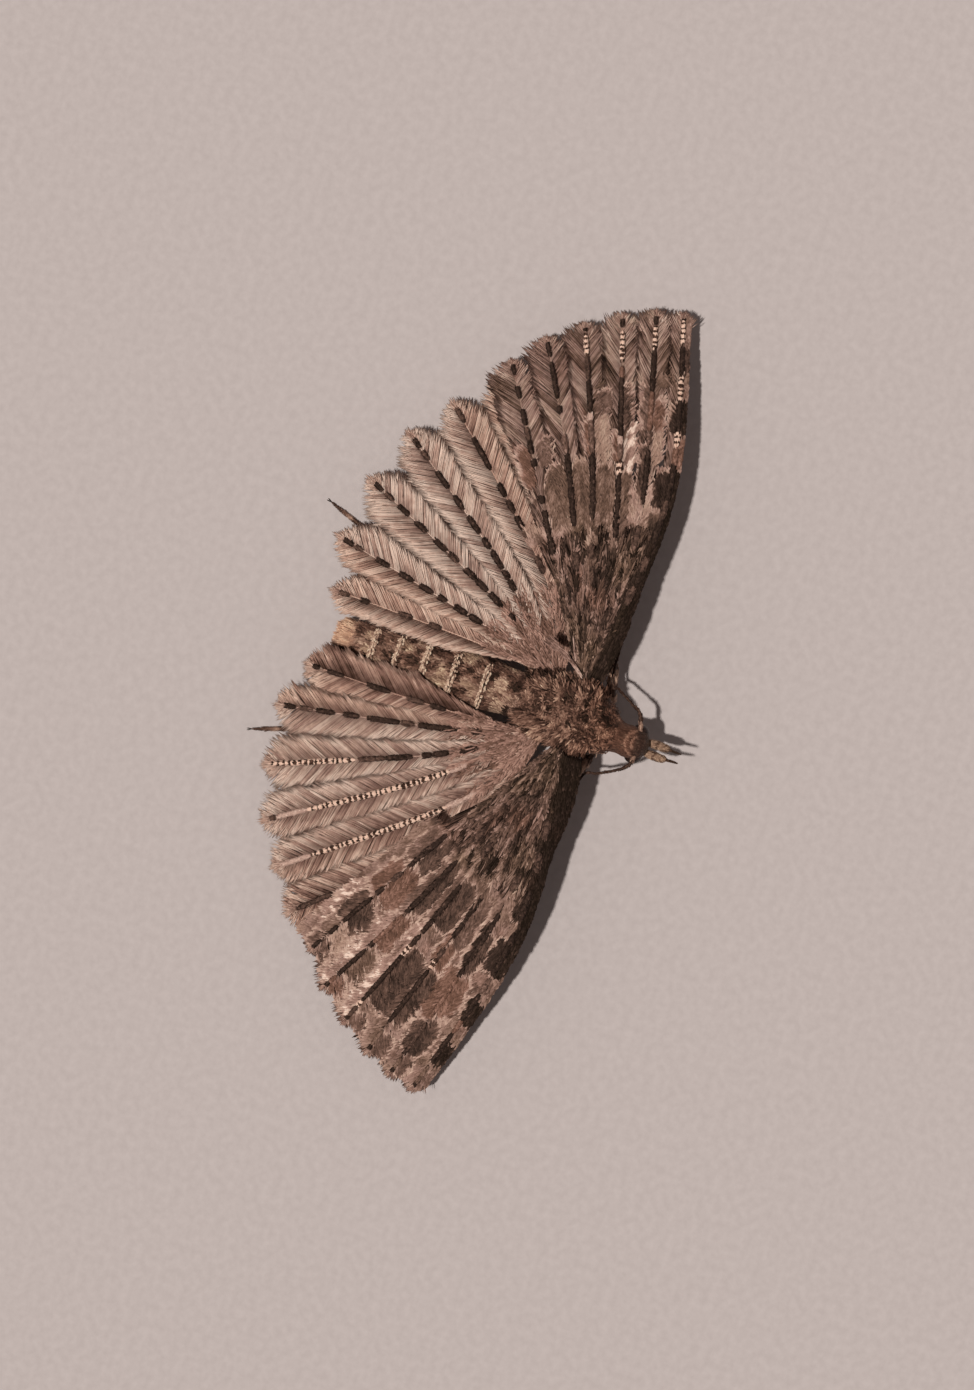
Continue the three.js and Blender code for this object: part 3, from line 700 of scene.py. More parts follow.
def film_tone(wing, side, share, across):
    """Tone and warmth of the mottled base of a wing."""
    seed = 11 if side == "left" else 31
    streaks = patches(share * 15 + seed, across * 4.6 + seed)
    flecks = patches(share * 70 + seed, across * 7.1)
    spots = smooth_step(patches(share * 44 + 7, across * 4.3 + seed), 0.62, 0.8)
    if wing is HINDWING:
        return 0.46 + 0.25 * (streaks - 0.5) + 0.2 * (flecks - 0.5), np.full(share.shape, 0.2)
    ground = 0.3 if side == "left" else 0.27
    tone = ground + 0.44 * (streaks - 0.5) + 0.4 * (flecks - 0.5) - 0.2 * spots
    tone = tone + 0.14 * smooth_step(share, 0.32, 0.44)
    # Blackish front: its own dark band with painted shade on the edge turned from the lamp.
    edge = smooth_step(across, *DARK_BAND_AND_SHADE[side])
    tone = tone * (1 - edge) + (0.09 + 0.1 * (flecks - 0.5)) * edge
    return tone, 0.3 - 0.9 * patches(share * 14, across * 1.3 + 9)


def gap_tone(wing, side, k, share, length, across):
    """Tone and warmth in gap k; across runs from the plume before it (0) to plume k (1)."""
    from_tip = (1 - share) * length
    if wing is HINDWING:
        ground, warmth = HINDWING_GROUND[side][k]
        smudge = patches(from_tip / 0.5 + 7 * k, across * 1.5 + 3)
        tone = ground + 0.12 * (smudge - 0.5) + 0.12 * smooth_step(share, 0.93, 1.01)
        # Painted glints: sparse bright flecks on the hairs stand in for the gloss of lit hair flanks.
        painted_glints = smooth_step(patches(from_tip / 0.05 + 11 * k, across * 9), 0.8, 0.92)
        return tone + 0.25 * painted_glints, np.full(share.shape, warmth)
    ground, rim, rim_width = FOREWING_GROUND[side]
    wander = EDGE_WANDER * (patches(from_tip / 0.09 + 3 * k, across * 5 + 20) - 0.5)
    tone = ground + 0.24 * (patches(from_tip / 0.13 + 5 * k, across * 4) - 0.5)
    tone = tone + 0.12 * smooth_step(share, 0.96, 1.02)
    warm = 0.15 - 0.5 * patches(from_tip / 0.3 + 2 * k, across * 2 + 40)
    wandered = (from_tip + wander, across + wander / GAP_WIDTH)
    here = [patch for patch in GAP_PATCHES[side] if patch[0] == k]
    for patch in here:
        inside = in_patch(*wandered, patch, rim_width)
        tone[inside], warm[inside] = rim, -0.15
    for patch in here:
        inside = in_patch(*wandered, patch, 0.0)
        fine = patches(from_tip[inside] / 0.07 + k, across[inside] * 8)
        streaks = patches(from_tip[inside] / 0.3 + 2 * k, across[inside] * 7 + 9)
        tone[inside] = TONES[patch[5]][0] + 0.12 * (fine - 0.5) + 0.16 * (streaks - 0.5)
        # Bright flecks in cream patches are painted glints on a brownish-cream ground.
        if patch[5] == "cream":
            tone[inside] += 0.42 * smooth_step(fine, 0.6, 0.75)
        warm[inside] = TONES[patch[5]][1]
    base = smooth_step(1 - share, BASE_FROM, BASE_FROM + 0.07)
    film, film_warm = film_tone(wing, side, share, k - 1 + across)
    return tone * (1 - base) + film * base, warm * (1 - base) + film_warm * base


def mark_fullness(wing, side, k, from_tip):
    """Breadth of a shaft's marked stretches: 1 in their middle, less at both ends, 0 between."""
    fullness = np.zeros(from_tip.shape)
    for start, end, _ in SHAFT_MARKS[wing["name"], side][k]:
        along = np.clip(2 * (from_tip - start) / (end - start) - 1, -1, 1)
        inside = (from_tip > start) & (from_tip < end)
        fullness[inside] = 0.45 + 0.55 * np.sqrt(1 - along[inside] ** 4)
    return fullness


def shaft_tone(wing, side, k, share, length):
    """Tone and warmth of the scales on a shaft."""
    tone, warm = gap_tone(wing, side, k, share, length, np.full(share.shape, 0.95))
    tone = tone + 0.1 * (wing is HINDWING)
    from_tip = (1 - share) * length
    paint(from_tip, SHAFT_MARKS[wing["name"], side][k], tone, warm)
    return tone, warm


print("marks:", sum(len(marks) for wing in SHAFT_MARKS.values() for marks in wing),
      "patches:", sum(len(wing) for wing in GAP_PATCHES.values()))

# %% [markdown]
# ## Wing skins
# Under the scales a plume is a thin tapering tube, and near the body a film joins all six.
# The skin is made just so: six tubes and a film 0.03 mm thick, in one piece for each wing,
# close to the solid wing that it replaces. On a forewing a strip of the same film runs before
# the first tube, because the scales of the leading edge need something to lie on.

# %% Skins of the wings
SHAFT_RADIUS = {"forewing": (0.036, 0.018), "hindwing": (0.03, 0.015)}  # mm, at root and tip
SHAFT_RISE = 0.06  # mm above the shaft's line, as is the next
FILM_RISE = 0.05
FILM_THICK = 0.03
FILM_RIDGE = 0.03  # mm that the film rises over each shaft and sinks between two
EDGE_REACH = {"left": 0.13, "right": 0.2}  # mm from the first shaft to the wing's leading edge
TUBE_SIDES = 8
FILM_GRID = (31, 24)  # points across the plumes and along them
EDGE_GRID = (7, 70)


def tube(centres, radii, sides):
    """A closed round tube along centres: its points and faces."""
    along = unit(np.gradient(centres, axis=0))
    across = unit(np.cross(UP, along))
    over = np.cross(along, across)
    turn = np.linspace(0, 2 * math.pi, sides, endpoint=False)
    ring = across[:, None] * np.cos(turn)[None, :, None] + over[:, None] * np.sin(turn)[None, :, None]
    points = centres[:, None] + np.asarray(radii)[:, None, None] * ring
    rows = len(centres)
    faces = [
        (i * sides + j, i * sides + (j + 1) % sides, (i + 1) * sides + (j + 1) % sides,
         (i + 1) * sides + j)
        for i in range(rows - 1)
        for j in range(sides)
    ]
    faces.append(tuple(range(sides))[::-1])
    faces.append(tuple((rows - 1) * sides + j for j in range(sides)))
    return points.reshape(-1, 3), faces


def wing_film_point(wing, side, share, across):
    """A place on the film: across runs from 0 at the front shaft to 5 at the rear one."""
    shafts = SHAFTS[wing["name"], side]
    lines = np.stack([on_shaft(shaft, share)[0] for shaft in shafts])
    k = np.clip(np.floor(across).astype(int), 0, PLUMES - 2)
    part = (across - k)[:, None]
    here = np.arange(len(share))
    level = lines[k, here] * (1 - part) + lines[k + 1, here] * part
    return level + UP * (FILM_RIDGE * np.cos(2 * math.pi * across) * smooth_step(share, 0.03, 0.12))[:, None]


def edge_widening(share):
    """How much wider the strip before the first shaft is near the body."""
    return 1 + 0.9 * smooth_step(share, 0.3, 0.12)


def edge_point(side, share, ahead):
    """A place on the strip before the first shaft, which bends down to its front rim."""
    point, _, front = on_shaft(SHAFTS["forewing", side][0], share)
    fall = 2.0 * ahead**2 / edge_widening(share)
    return point + front * ahead[:, None] + UP * (SHAFT_RISE + 0.05 - fall)[:, None]


def edge_tone(side, share, ahead):
    """Tone and warmth of that strip, which is darker than the wing behind it, near the root partly with
    painted shade.
    """
    length = SHAFTS["forewing", side][0]["length"]
    across = np.clip(1 - ahead / EDGE_REACH[side], -1, 1)
    tone, warm = gap_tone(FOREWING, side, 0, share, length, across)
    # Towards the root the strip is darker: partly its own dark band, partly painted shade on the turned-down
    # edge.
    return np.minimum(tone, 0.46) - 0.1 * smooth_step(share, 0.6, 0.45), warm


def sheet(middle, rows, columns):
    """A closed thin sheet round a grid of middle points: its points and faces."""
    points = np.concatenate([middle + UP * 0.5 * FILM_THICK, middle - UP * 0.5 * FILM_THICK])
    top = [[i * columns + j for j in range(columns)] for i in range(rows)]
    deep = rows * columns
    faces = []
    for i in range(rows - 1):
        for j in range(columns - 1):
            face = (top[i][j], top[i + 1][j], top[i + 1][j + 1], top[i][j + 1])
            faces.append(face)
            faces.append(tuple(v + deep for v in face[::-1]))
    rim = [row[0] for row in top] + top[-1][1:] + [row[-1] for row in top[-2::-1]] + top[0][-2:0:-1]
    faces += [(b, a, a + deep, b + deep) for a, b in zip(rim, rim[1:] + rim[:1])]
    return points, faces


def flat_grid(down, along):
    """Two rows of numbers as the flat coordinates of a grid."""
    return (numbers.ravel() for numbers in np.meshgrid(down, along, indexing="ij"))


def skin_parts(wing, side):
    """The skin's tubes, film and strip: points, faces, and tone and warmth of each."""
    wide, narrow = SHAFT_RADIUS[wing["name"]]
    share = np.linspace(0.02, 0.99, 90)
    for k, shaft in enumerate(SHAFTS[wing["name"], side]):
        centres = on_shaft(shaft, share)[0] + UP * SHAFT_RISE
        tone, warm = shaft_tone(wing, side, k, share, shaft["length"])
        yield (*tube(centres, wide + (narrow - wide) * share, TUBE_SIDES),
               np.repeat(tone, TUBE_SIDES), np.repeat(warm, TUBE_SIDES))
    rows, columns = FILM_GRID
    across, at = flat_grid(np.linspace(0, PLUMES - 1, rows), np.linspace(0.01, wing["membrane"], columns))
    tone, warm = film_tone(wing, side, at, across)
    yield (*sheet(wing_film_point(wing, side, at, across) + UP * FILM_RISE, rows, columns),
           np.tile(tone, 2), np.tile(warm, 2))
    if wing is FOREWING:
        rows, columns = EDGE_GRID
        across, at = flat_grid(np.linspace(1, 0, rows), np.linspace(0.02, 0.97, columns))
        ahead = across * EDGE_REACH[side] * edge_widening(at) * 0.95
        tone, warm = edge_tone(side, at, ahead)
        yield (*sheet(edge_point(side, at, ahead) - UP * 0.02, rows, columns),
               np.tile(tone, 2), np.tile(warm, 2))


def wing_skin(wing, side):
    """Six shafts, the film between their roots and a forewing's strip, as one piece."""
    parts = list(skin_parts(wing, side))
    faces = []
    start = 0
    for part_points, part_faces, _, _ in parts:
        faces += [tuple(i + start for i in face) for face in part_faces]
        start += len(part_points)
    points, tone, warm = (np.concatenate([part[i] for part in parts]) for i in (0, 2, 3))
    name = wing["name"] + "_" + side
    piece = build(name + "_skin", points, faces, wing_chitin, {"tone": tone, "warm": warm},
                  mirrored=side == "left")
    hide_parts(name)
    return piece


for wing in (FOREWING, HINDWING):
    for side in ("left", "right"):
        skin = wing_skin(wing, side)
        print(skin.name, len(skin.data.vertices), "points")

# %% [markdown]
# ## Fringe hairs
# The hairs leave a shaft at a slant towards its tip and cross the next plume's hairs halfway,
# in a herring-bone. They lie side by side like the vane of a feather and part into narrow
# strands, so each hair shares its strand's tone and is darker near the strand's edges, which is
# painted shade for the grooves between strands. A layer of broad hairs at the bottom shuts the
# view of the floor and two fine layers make the vane; the lower layers are a little darker, as
# painted shade under the upper ones. On the hindwing a few thin pale hairs lie on top, and the
# hairs pale towards their tips, partly their own colour and partly painted light where two
# plumes' hairs meet. Towards the plume's tip the strands part, and a brush of hairs closes it.

# %% Fringe
STRAND = 0.13  # mm along the shaft
FAN_HAIRS = 160
# Painted shade: a strand's edges are darkened where the grooves between strands lie.
STRAND_EDGE_SHADE = 0.16  # how much darker a strand's edges are
CROSSING = 0.09  # mm that hairs reach past the middle of a gap
OVERHANG = {"forewing": 0.15, "hindwing": 0.24}  # mm that hairs reach past a plume's tip
NOTCH = {  # how steeply the margin falls back beside a plume's tip
    ("forewing", "left"): 0.6,
    ("forewing", "right"): 0.8,
    ("hindwing", "left"): 1.0,
    ("hindwing", "right"): 0.75,
}
THINNED = {"forewing": 0.2, "hindwing": 0.5}  # share of the hairs missing at a plume's tip
# Each layer's tone: the lower layers are a little darker, painted shade under the upper ones.
LAYERS = {
    "forewing": [
        {"rise": 0.035, "tone": -0.02, "pitch": 0.028, "reach": 1.12, "width": 0.07},
        {"rise": 0.055, "tone": -0.01, "pitch": 0.013, "reach": 1.04, "width": 0.036},
        {"rise": 0.075, "tone": 0.01, "pitch": 0.013, "reach": 1.0, "width": 0.026},
    ],
    "hindwing": [
        {"rise": 0.035, "tone": -0.02, "pitch": 0.026, "reach": 1.12, "width": 0.07},
        {"rise": 0.055, "tone": -0.01, "pitch": 0.012, "reach": 1.04, "width": 0.04},
        {"rise": 0.07, "tone": 0.01, "pitch": 0.011, "reach": 1.02, "width": 0.03},
        {"rise": 0.09, "tone": 0.06, "pitch": 0.034, "reach": 1.05, "width": 0.016},
    ],
}


def fringe_lean(wing, side, k, share):
    """Degrees between a shaft and its hairs."""
    if wing is HINDWING:
        return 40 + 9 * smooth_step(share, 0.25, 0.5)
    spread = 12 + 3 * k if side == "right" else 14 + 4 * k
    return 17 + spread * smooth_step(share, 0.45, 0.9)


def fringe_set(wing, side, k, front_side, layer, rng):
    """The hairs of one layer on one side of one shaft."""
    shafts = SHAFTS[wing["name"], side]
    shaft = shafts[k]
    count = int((1 - wing["fringe_from"]) * shaft["length"] / layer["pitch"])
    share = np.linspace(wing["fringe_from"], 0.995, count) + rng.normal(0, 0.002, count)
    missing = THINNED[wing["name"]] * smooth_step(share, 0.85, 1.0)
    share = share[rng.random(count) > missing]
    count = len(share)
    point, along, front = on_shaft(shaft, share)
    out = front if front_side else -front
    neighbour = shafts[k - 1] if front_side and k > 0 else None
    if not front_side and k < PLUMES - 1:
        neighbour = shafts[k + 1]
    if neighbour is None:
        reach = np.full(count, wing["front_reach"] if front_side else wing["rear_reach"][side])
        reach = reach * smooth_step(share, 0.05, 0.45)
        slope = np.full(count, 0.5 * (wing is HINDWING and not front_side))
        level = 2 * np.maximum(reach, 0.1)
    else:
        gap = on_shaft(neighbour, share)[0] - point
        level = np.maximum(np.abs(np.sum(gap * out, axis=1)), 0.05)
        reach = np.minimum(wing["longest"], 0.5 * level + CROSSING)
        slope = gap[:, 2] / np.maximum(level, 0.1)
    if reach.max() < 0.05:
        return None
    at = share * shaft["length"] / STRAND + 0.3 * np.sin(share * shaft["length"] * 9 + k)
    strand = np.floor(at)
    inside = at - strand - 0.5
    draw = np.random.default_rng(1000 * k + 10 * front_side + (side == "left")).random((400, 3))
    own = draw[strand.astype(int) % 400]
    parted = smooth_step(share, 0.82, 1.0)
    lean = fringe_lean(wing, side, k, share) + 3 * (own[:, 0] - 0.5) + (3 + 9 * parted) * inside
    angle = np.radians(lean + rng.normal(0, 1.2 + 4 * parted))
    way = along * np.cos(angle)[:, None]
    way = way + (out + UP * slope[:, None]) * np.sin(angle)[:, None]
    length = reach * layer["reach"] / np.sin(angle) * (0.88 + 0.16 * own[:, 1])
    to_tip = (1 - share) * shaft["length"] + OVERHANG[wing["name"]]
    to_tip = to_tip / (np.cos(angle) + NOTCH[wing["name"], side] * np.sin(angle))
    length = np.minimum(np.minimum(length, to_tip), 1.5 * wing["longest"] + 0.1)
    length = length * rng.uniform(0.9 - 0.45 * parted, 1.06 + 0.2 * parted)
    ring_share = share[:, None] + RING_ALONG * (length * np.cos(angle) / shaft["length"])[:, None]
    ring_share = ring_share + rng.normal(0, 0.004, (count, 1))
    across = np.clip(RING_ALONG * (length * np.sin(angle) / level)[:, None] + 0.03, 0, 1)
    if front_side:
        tone, warm = gap_tone(wing, side, k, ring_share, shaft["length"], 1 - across)
    else:
        behind = shafts[min(k + 1, PLUMES - 1)]
        tone, warm = gap_tone(wing, side, k + 1, ring_share, behind["length"], across)
    # Each strand has its own tone, and its edges get painted shade for the groove beside them.
    strand_tone_and_shade = 0.3 * (own[:, 2] - 0.5) - STRAND_EDGE_SHADE * (2 * inside) ** 6
    tone = tone + layer["tone"] + (strand_tone_and_shade + rng.normal(0, 0.025, count))[:, None]
    # Hindwing hairs pale towards their tips: partly their own colour, partly painted light where two plumes'
    # hairs meet.
    tone = tone + 0.09 * RING_ALONG * (wing is HINDWING)
    root = point + out * 0.008 + UP * (layer["rise"] + 0.01 * (not front_side))
    root[:, 2] += rng.normal(0, 0.004, count)
    beside = (k + 0.5 + (-0.35 if front_side else 0.35)) / PLUMES
    place = np.stack([np.full(count, beside), np.clip(share, 0, 1)], axis=1)
    return blades(root, way, UP, length, layer["width"] * (1 - 0.3 * parted), tone, warm, place,
                  arch=0.03, droop=rng.uniform(-0.01, 0.03, count), thick=0.1,
                  bend=(0.09 if front_side else -0.09) + rng.normal(0, 0.03, count))


def tip_fan(wing, side, k, rng):
    """The brush of hairs past the end of a shaft."""
    shaft = SHAFTS[wing["name"], side][k]
    count = FAN_HAIRS
    share = rng.uniform(0.95, 1.0, count)
    point, along, front = on_shaft(shaft, share)
    angle = np.radians(rng.uniform(-48, 48, count))
    way = along * np.cos(angle)[:, None] + front * np.sin(angle)[:, None]
    to_tip = (1 - share) * shaft["length"] + OVERHANG[wing["name"]]
    length = to_tip / (np.cos(angle) + NOTCH[wing["name"], side] * np.abs(np.sin(angle)))
    length = length * rng.uniform(0.6, 1.1, count)
    tone = 0.6 + 0.08 * (wing is HINDWING) + rng.normal(0, 0.08, count)
    tone = tone[:, None] + 0.12 * RING_ALONG
    root = point + UP * 0.05
    root[:, 2] += rng.uniform(-0.04, 0.05, count)
    place = np.stack([np.full(count, (k + 0.5) / PLUMES), share], axis=1)
    return blades(root, way, UP, length, 0.015, tone, 0.15, place, arch=0.04,
                  droop=rng.uniform(-0.05, 0.1, count), thick=0.3)


for number, wing in enumerate((FOREWING, HINDWING)):
    for side in ("left", "right"):
        rng = np.random.default_rng(20 + 2 * number + (side == "left"))
        sets = [
            fringe_set(wing, side, k, front_side, layer, rng)
            for layer in LAYERS[wing["name"]]
            for k in range(PLUMES)
            for front_side in (True, False)
        ]
        sets += [tip_fan(wing, side, k, rng) for k in range(PLUMES)]
        piece = coat(wing["name"] + "_" + side + "_fringe", [hairs for hairs in sets if hairs],
                     HAIR_CHITIN[wing["name"]], mirrored=side == "left")

# %% [markdown]
# ## Scales on the wings
# Flat scales clothe the shafts like shingles, their free ends to the plume's tip. They cover
# the film at the wing's base, where they lie along the plumes with a little swirl. On the
# forewing short scales also lie over the hairs, in about the hairs' direction, and draw the
# patches. On the leading edge they lie close and make a smooth strip. Where a shaft is marked
# its scales lie higher, as a stripe over the hairs, or the hairs would hide the mark.

# %% Scales of the shafts and of the film
SHAFT_ROW = 0.036  # mm from one row of scales to the next
ROW_SCALES = 5
SHINGLE = (0.085, 0.042)  # mm long and wide
MARK_HALF = {"forewing": (0.06, 0.028), "hindwing": (0.044, 0.034)}  # mm, at root and tip
MARK_RISE = {"forewing": 0.175, "hindwing": 0.14}  # mm above the shaft's line
FILM_SCALES = {"forewing": 6800, "hindwing": 2400}
GAP_SCALES = 3100
EDGE_SCALES = 2600
LOCK_SCALES = 240


def shaft_scales(wing, side, k, rng):
    """Shingles round the upper half of one shaft."""
    shaft = SHAFTS[wing["name"], side][k]
    rows = int(shaft["length"] / SHAFT_ROW)
    share = np.repeat(np.linspace(0.04, 0.985, rows), ROW_SCALES)
    share = share + rng.normal(0, 0.001, len(share))
    beside = np.tile(np.linspace(-1, 1, ROW_SCALES), rows) + rng.normal(0, 0.1, len(share))
    point, along, front = on_shaft(shaft, share)
    wide, narrow = SHAFT_RADIUS[wing["name"]]
    radius = wide + (narrow - wide) * share
    angle = np.radians(62 * beside)[:, None]
    over = front * np.sin(angle) + UP * np.cos(angle)
    lift = rng.uniform(0.04, 0.2, len(share))
    fullness = mark_fullness(wing, side, k, (1 - share) * shaft["length"] - 0.03)
    marked = fullness > 0
    splay = 0.25 * np.sin(angle) * (~marked)[:, None] + rng.normal(0, 0.05, angle.shape)
    way = along + over * lift[:, None] + front * splay
    tone, warm = shaft_tone(wing, side, k, share + 0.03 / shaft["length"], shaft["length"])
    tone = tone + rng.normal(0, 0.06, len(share))
    low = point + UP * (SHAFT_RISE - 0.02) + over * (radius + 0.004)[:, None]
    broad, slim = MARK_HALF[wing["name"]]
    proud = point + front * (beside * fullness * (broad + (slim - broad) * share))[:, None]
    proud = proud + UP * (MARK_RISE[wing["name"]] - 0.02 * beside**2)[:, None]
    root = np.where(marked[:, None], proud, low)
    place = np.stack([(k + 0.5 + 0.12 * beside) / PLUMES, share], axis=1)
    size = (1.1 - 0.3 * share) * rng.uniform(0.85, 1.1, len(share)) * np.where(marked, 1.1, 0.6)
    return blades(root, way, over, SHINGLE[0] * size, SHINGLE[1] * size, tone, warm, place,
                  form=SCALE, arch=0.05, thick=0.16)


def film_scales(wing, side, rng):
    """Scales over the wing's base, above and below the film, and a few long ones on top."""
    sets = []
    for above, part, longer in ((True, 1.0, 1.0), (True, 0.05, 2.4), (False, 0.2, 1.0)):
        some = int(FILM_SCALES[wing["name"]] * part)
        share = 0.01 + (wing["membrane"] + 0.08) * rng.random(some) ** 0.75
        across = rng.uniform(-0.12 if longer == 1 else 0.3, 5.1, some)
        point = wing_film_point(wing, side, share, across)
        ahead = wing_film_point(wing, side, share + 0.01, across)
        way = unit(ahead - point)
        up = UP if above else -UP
        depth = 0.5 * FILM_THICK + rng.uniform(0, 0.05, some) + 0.03 * (longer > 1)
        root = point + UP * FILM_RISE + up * depth[:, None]
        level = np.cross(UP, way)
        swirl = 1.1 * (patches(share * 40 + 3, across * 4) - 0.5) + rng.normal(0, 0.2, some)
        swirl = swirl / longer
        way = way * np.cos(swirl)[:, None] + level * np.sin(swirl)[:, None]
        way = way + up * rng.uniform(0.02, 0.14, some)[:, None] / longer
        tone, warm = film_tone(wing, side, share, across)
        tone = tone + rng.normal(0, 0.06, some)
        place = np.stack([(np.clip(across, 0, PLUMES - 1) + 0.5) / PLUMES, share], axis=1)
        sets.append(blades(root, way, up, rng.uniform(0.07, 0.12, some) * longer,
                           rng.uniform(0.022, 0.034, some), tone, warm, place, form=SCALE,
                           arch=0.06, bend=rng.uniform(-0.15, 0.15, some), thick=0.14))
    return sets


def gap_cover(side, k, from_tip, across):
    """Share of the scales over the hairs that is kept: on the left only some are."""
    if side == "right":
        return np.ones(len(from_tip))
    cover = 0.8 * smooth_step(from_tip, 3.0, 3.5)
    for patch in GAP_PATCHES[side]:
        if patch[0] == k:
            cover[in_patch(from_tip, across, patch, 0.0) & (from_tip > 1.2)] = 0.9
    return cover


def gap_scales(side, k, rng):
    """Short scales that lie over the forewing's hairs, and draw the patches of gap k."""
    before = SHAFTS["forewing", side][k - 1]
    after = SHAFTS["forewing", side][min(k, PLUMES - 1)]
    share = rng.uniform(0.42, 0.985, GAP_SCALES)
    across = rng.uniform(0.0, 1.0, GAP_SCALES)
    from_tip = (1 - share) * after["length"]
    kept = rng.random(GAP_SCALES) < gap_cover(side, k, from_tip, across)
    share, across, from_tip = share[kept], across[kept], from_tip[kept]
    count = len(share)
    point, along, front = on_shaft(before, share)
    if k < PLUMES:
        point_after, along_after, front_after = on_shaft(after, share)
        point = point * (1 - across)[:, None] + point_after * across[:, None]
        from_front = across + rng.normal(0, 0.06, count) < 0.5
    else:
        point = point - front * (0.4 * across)[:, None]
        from_front = np.ones(count, dtype=bool)
    angle = np.radians(fringe_lean(FOREWING, side, k, share) + rng.normal(0, 9, count))
    outward = np.where(from_front, -1.0, 1.0)[:, None]
    way = along * np.cos(angle)[:, None] + front * outward * np.sin(angle)[:, None]
    way = way + UP * rng.uniform(0.0, 0.14, count)[:, None]
    root = point + UP * (0.14 + rng.normal(0, 0.01, count))[:, None]
    length = rng.uniform(0.1, 0.18, count)
    beyond = RING_ALONG * (length * np.cos(angle) / after["length"])[:, None]
    sideways = RING_ALONG * (length * np.sin(angle) * -outward[:, 0] / GAP_WIDTH)[:, None]
    tone, warm = gap_tone(FOREWING, side, k, share[:, None] + beyond, after["length"],
                          np.clip(across[:, None] + sideways, 0, 1))
    tone = tone + rng.normal(0, 0.04, (count, 1))
    place = np.stack([np.clip((k - 0.5 + across) / PLUMES, 0, 1), share], axis=1)
    return blades(root, way, UP, length, rng.uniform(0.022, 0.033, count), tone, warm, place,
                  form=SCALE, arch=0.04, thick=0.14)


def leading_edge(side, rng):
    """The close strip of scales in front of the first shaft."""
    shaft = SHAFTS["forewing", side][0]
    count = EDGE_SCALES
    share = rng.uniform(0.02, 0.985, count)
    _, along, front = on_shaft(shaft, share)
    ahead = rng.uniform(0.0, EDGE_REACH[side], count) * edge_widening(share)
    root = edge_point(side, share, ahead)
    root[:, 2] += rng.normal(0, 0.006, count)
    tone, warm = edge_tone(side, share + 0.06 / shaft["length"], ahead)
    tone = tone + rng.normal(0, 0.06, count)
    place = np.stack([np.full(count, 0.01), share], axis=1)
    way = along + front * rng.normal(0.02, 0.05, count)[:, None]
    way[:, 2] += rng.uniform(0.0, 0.1, count)
    return blades(root, way, UP, rng.uniform(0.1, 0.15, count), 0.042, tone, warm, place, form=SCALE,
                  arch=0.04, thick=0.14)


def base_strand(rng):
    """A lock of long scales over the left wing's base, palest at its end by the shoulder."""
    count = LOCK_SCALES
    share = rng.random(count)
    start = np.array([1.12, 0.23])
    ahead = np.array([0.68, 1.09]) - start
    beside = np.array([0.89, 0.46])
    bow = 0.05 * np.sin(math.pi * share) + rng.normal(0, 0.03, count) * (1.1 - share)
    flat = start + ahead * (0.88 * share)[:, None] + beside * bow[:, None]
    root = np.column_stack([flat, 1.89 + 0.04 * np.sin(math.pi * share) + rng.uniform(-0.02, 0.02, count)])
    turn = 0.16 * np.cos(math.pi * share) + rng.normal(0, 0.06, count)
    way = np.column_stack([ahead + beside * turn[:, None], np.full(count, 0.03)])
    tone = 0.44 + 0.3 * smooth_step(share, 0.6, 1.0) + rng.normal(0, 0.08, count)
    place = np.stack([np.full(count, 0.3), 0.1 + 0.1 * share], axis=1)
    return blades(root, way, UP, rng.uniform(0.09, 0.15, count), 0.024, tone, 0.0, place, arch=0.05)


# %% Scales laid on the wings
for number, wing in enumerate((FOREWING, HINDWING)):
    for side in ("left", "right"):
        name = wing["name"] + "_" + side
        rng = np.random.default_rng(40 + 2 * number + (side == "left"))
        shaft_sets = [shaft_scales(wing, side, k, rng) for k in range(PLUMES)]
        pieces = [("_shaft_scales", shaft_sets), ("_film_scales", film_scales(wing, side, rng))]
        if wing is FOREWING:
            pieces[1][1].append(leading_edge(side, rng))
            pieces.append(("_gap_scales", [gap_scales(side, k, rng) for k in range(1, PLUMES + 1)]))
            if side == "left":
                pieces[1][1].append(base_strand(rng))
        for part, blade_sets in pieces:
            piece = coat(name + part, blade_sets, wing_chitin, mirrored=side == "left", smooth=False)

# %% [markdown]
# ## The body's skin
# Tail, abdomen, thorax, neck and head are one skin without a seam: rings of points along the
# body, drawn through a few sections. The abdomen's rings stand out a little at their rear
# edges, where the real plates overlap. The skin runs close along the solids that it replaces,
# in some places a little inside them and in others a little outside.

# %% Body sections
BODY = [  # y, x, z, half width, half height
    (-3.22, 0.02, 0.80, 0.14, 0.12),
    (-3.12, 0.02, 0.80, 0.25, 0.21),
    (-2.90, 0.02, 0.82, 0.32, 0.28),
    (-2.62, 0.02, 0.84, 0.37, 0.33),
    (-2.16, 0.02, 0.89, 0.42, 0.37),
    (-1.65, 0.02, 0.95, 0.45, 0.40),
    (-1.12, 0.01, 1.00, 0.46, 0.41),
    (-0.53, 0.00, 1.07, 0.44, 0.39),
    (0.00, 0.00, 1.18, 0.41, 0.38),
    (0.30, 0.00, 1.32, 0.43, 0.43),
    (0.60, 0.00, 1.40, 0.50, 0.49),
    (0.95, 0.00, 1.42, 0.56, 0.53),
    (1.25, 0.00, 1.42, 0.57, 0.53),
    (1.60, 0.02, 1.42, 0.50, 0.46),
    (1.86, 0.06, 1.40, 0.38, 0.35),
    (1.98, 0.09, 1.38, 0.31, 0.30),
    (2.08, 0.11, 1.36, 0.28, 0.29),
    (2.26, 0.12, 1.35, 0.295, 0.31),
    (2.42, 0.12, 1.34, 0.285, 0.30),
    (2.53, 0.12, 1.32, 0.22, 0.24),
    (2.61, 0.12, 1.30, 0.08, 0.10),
]
SECTION = np.array(BODY)
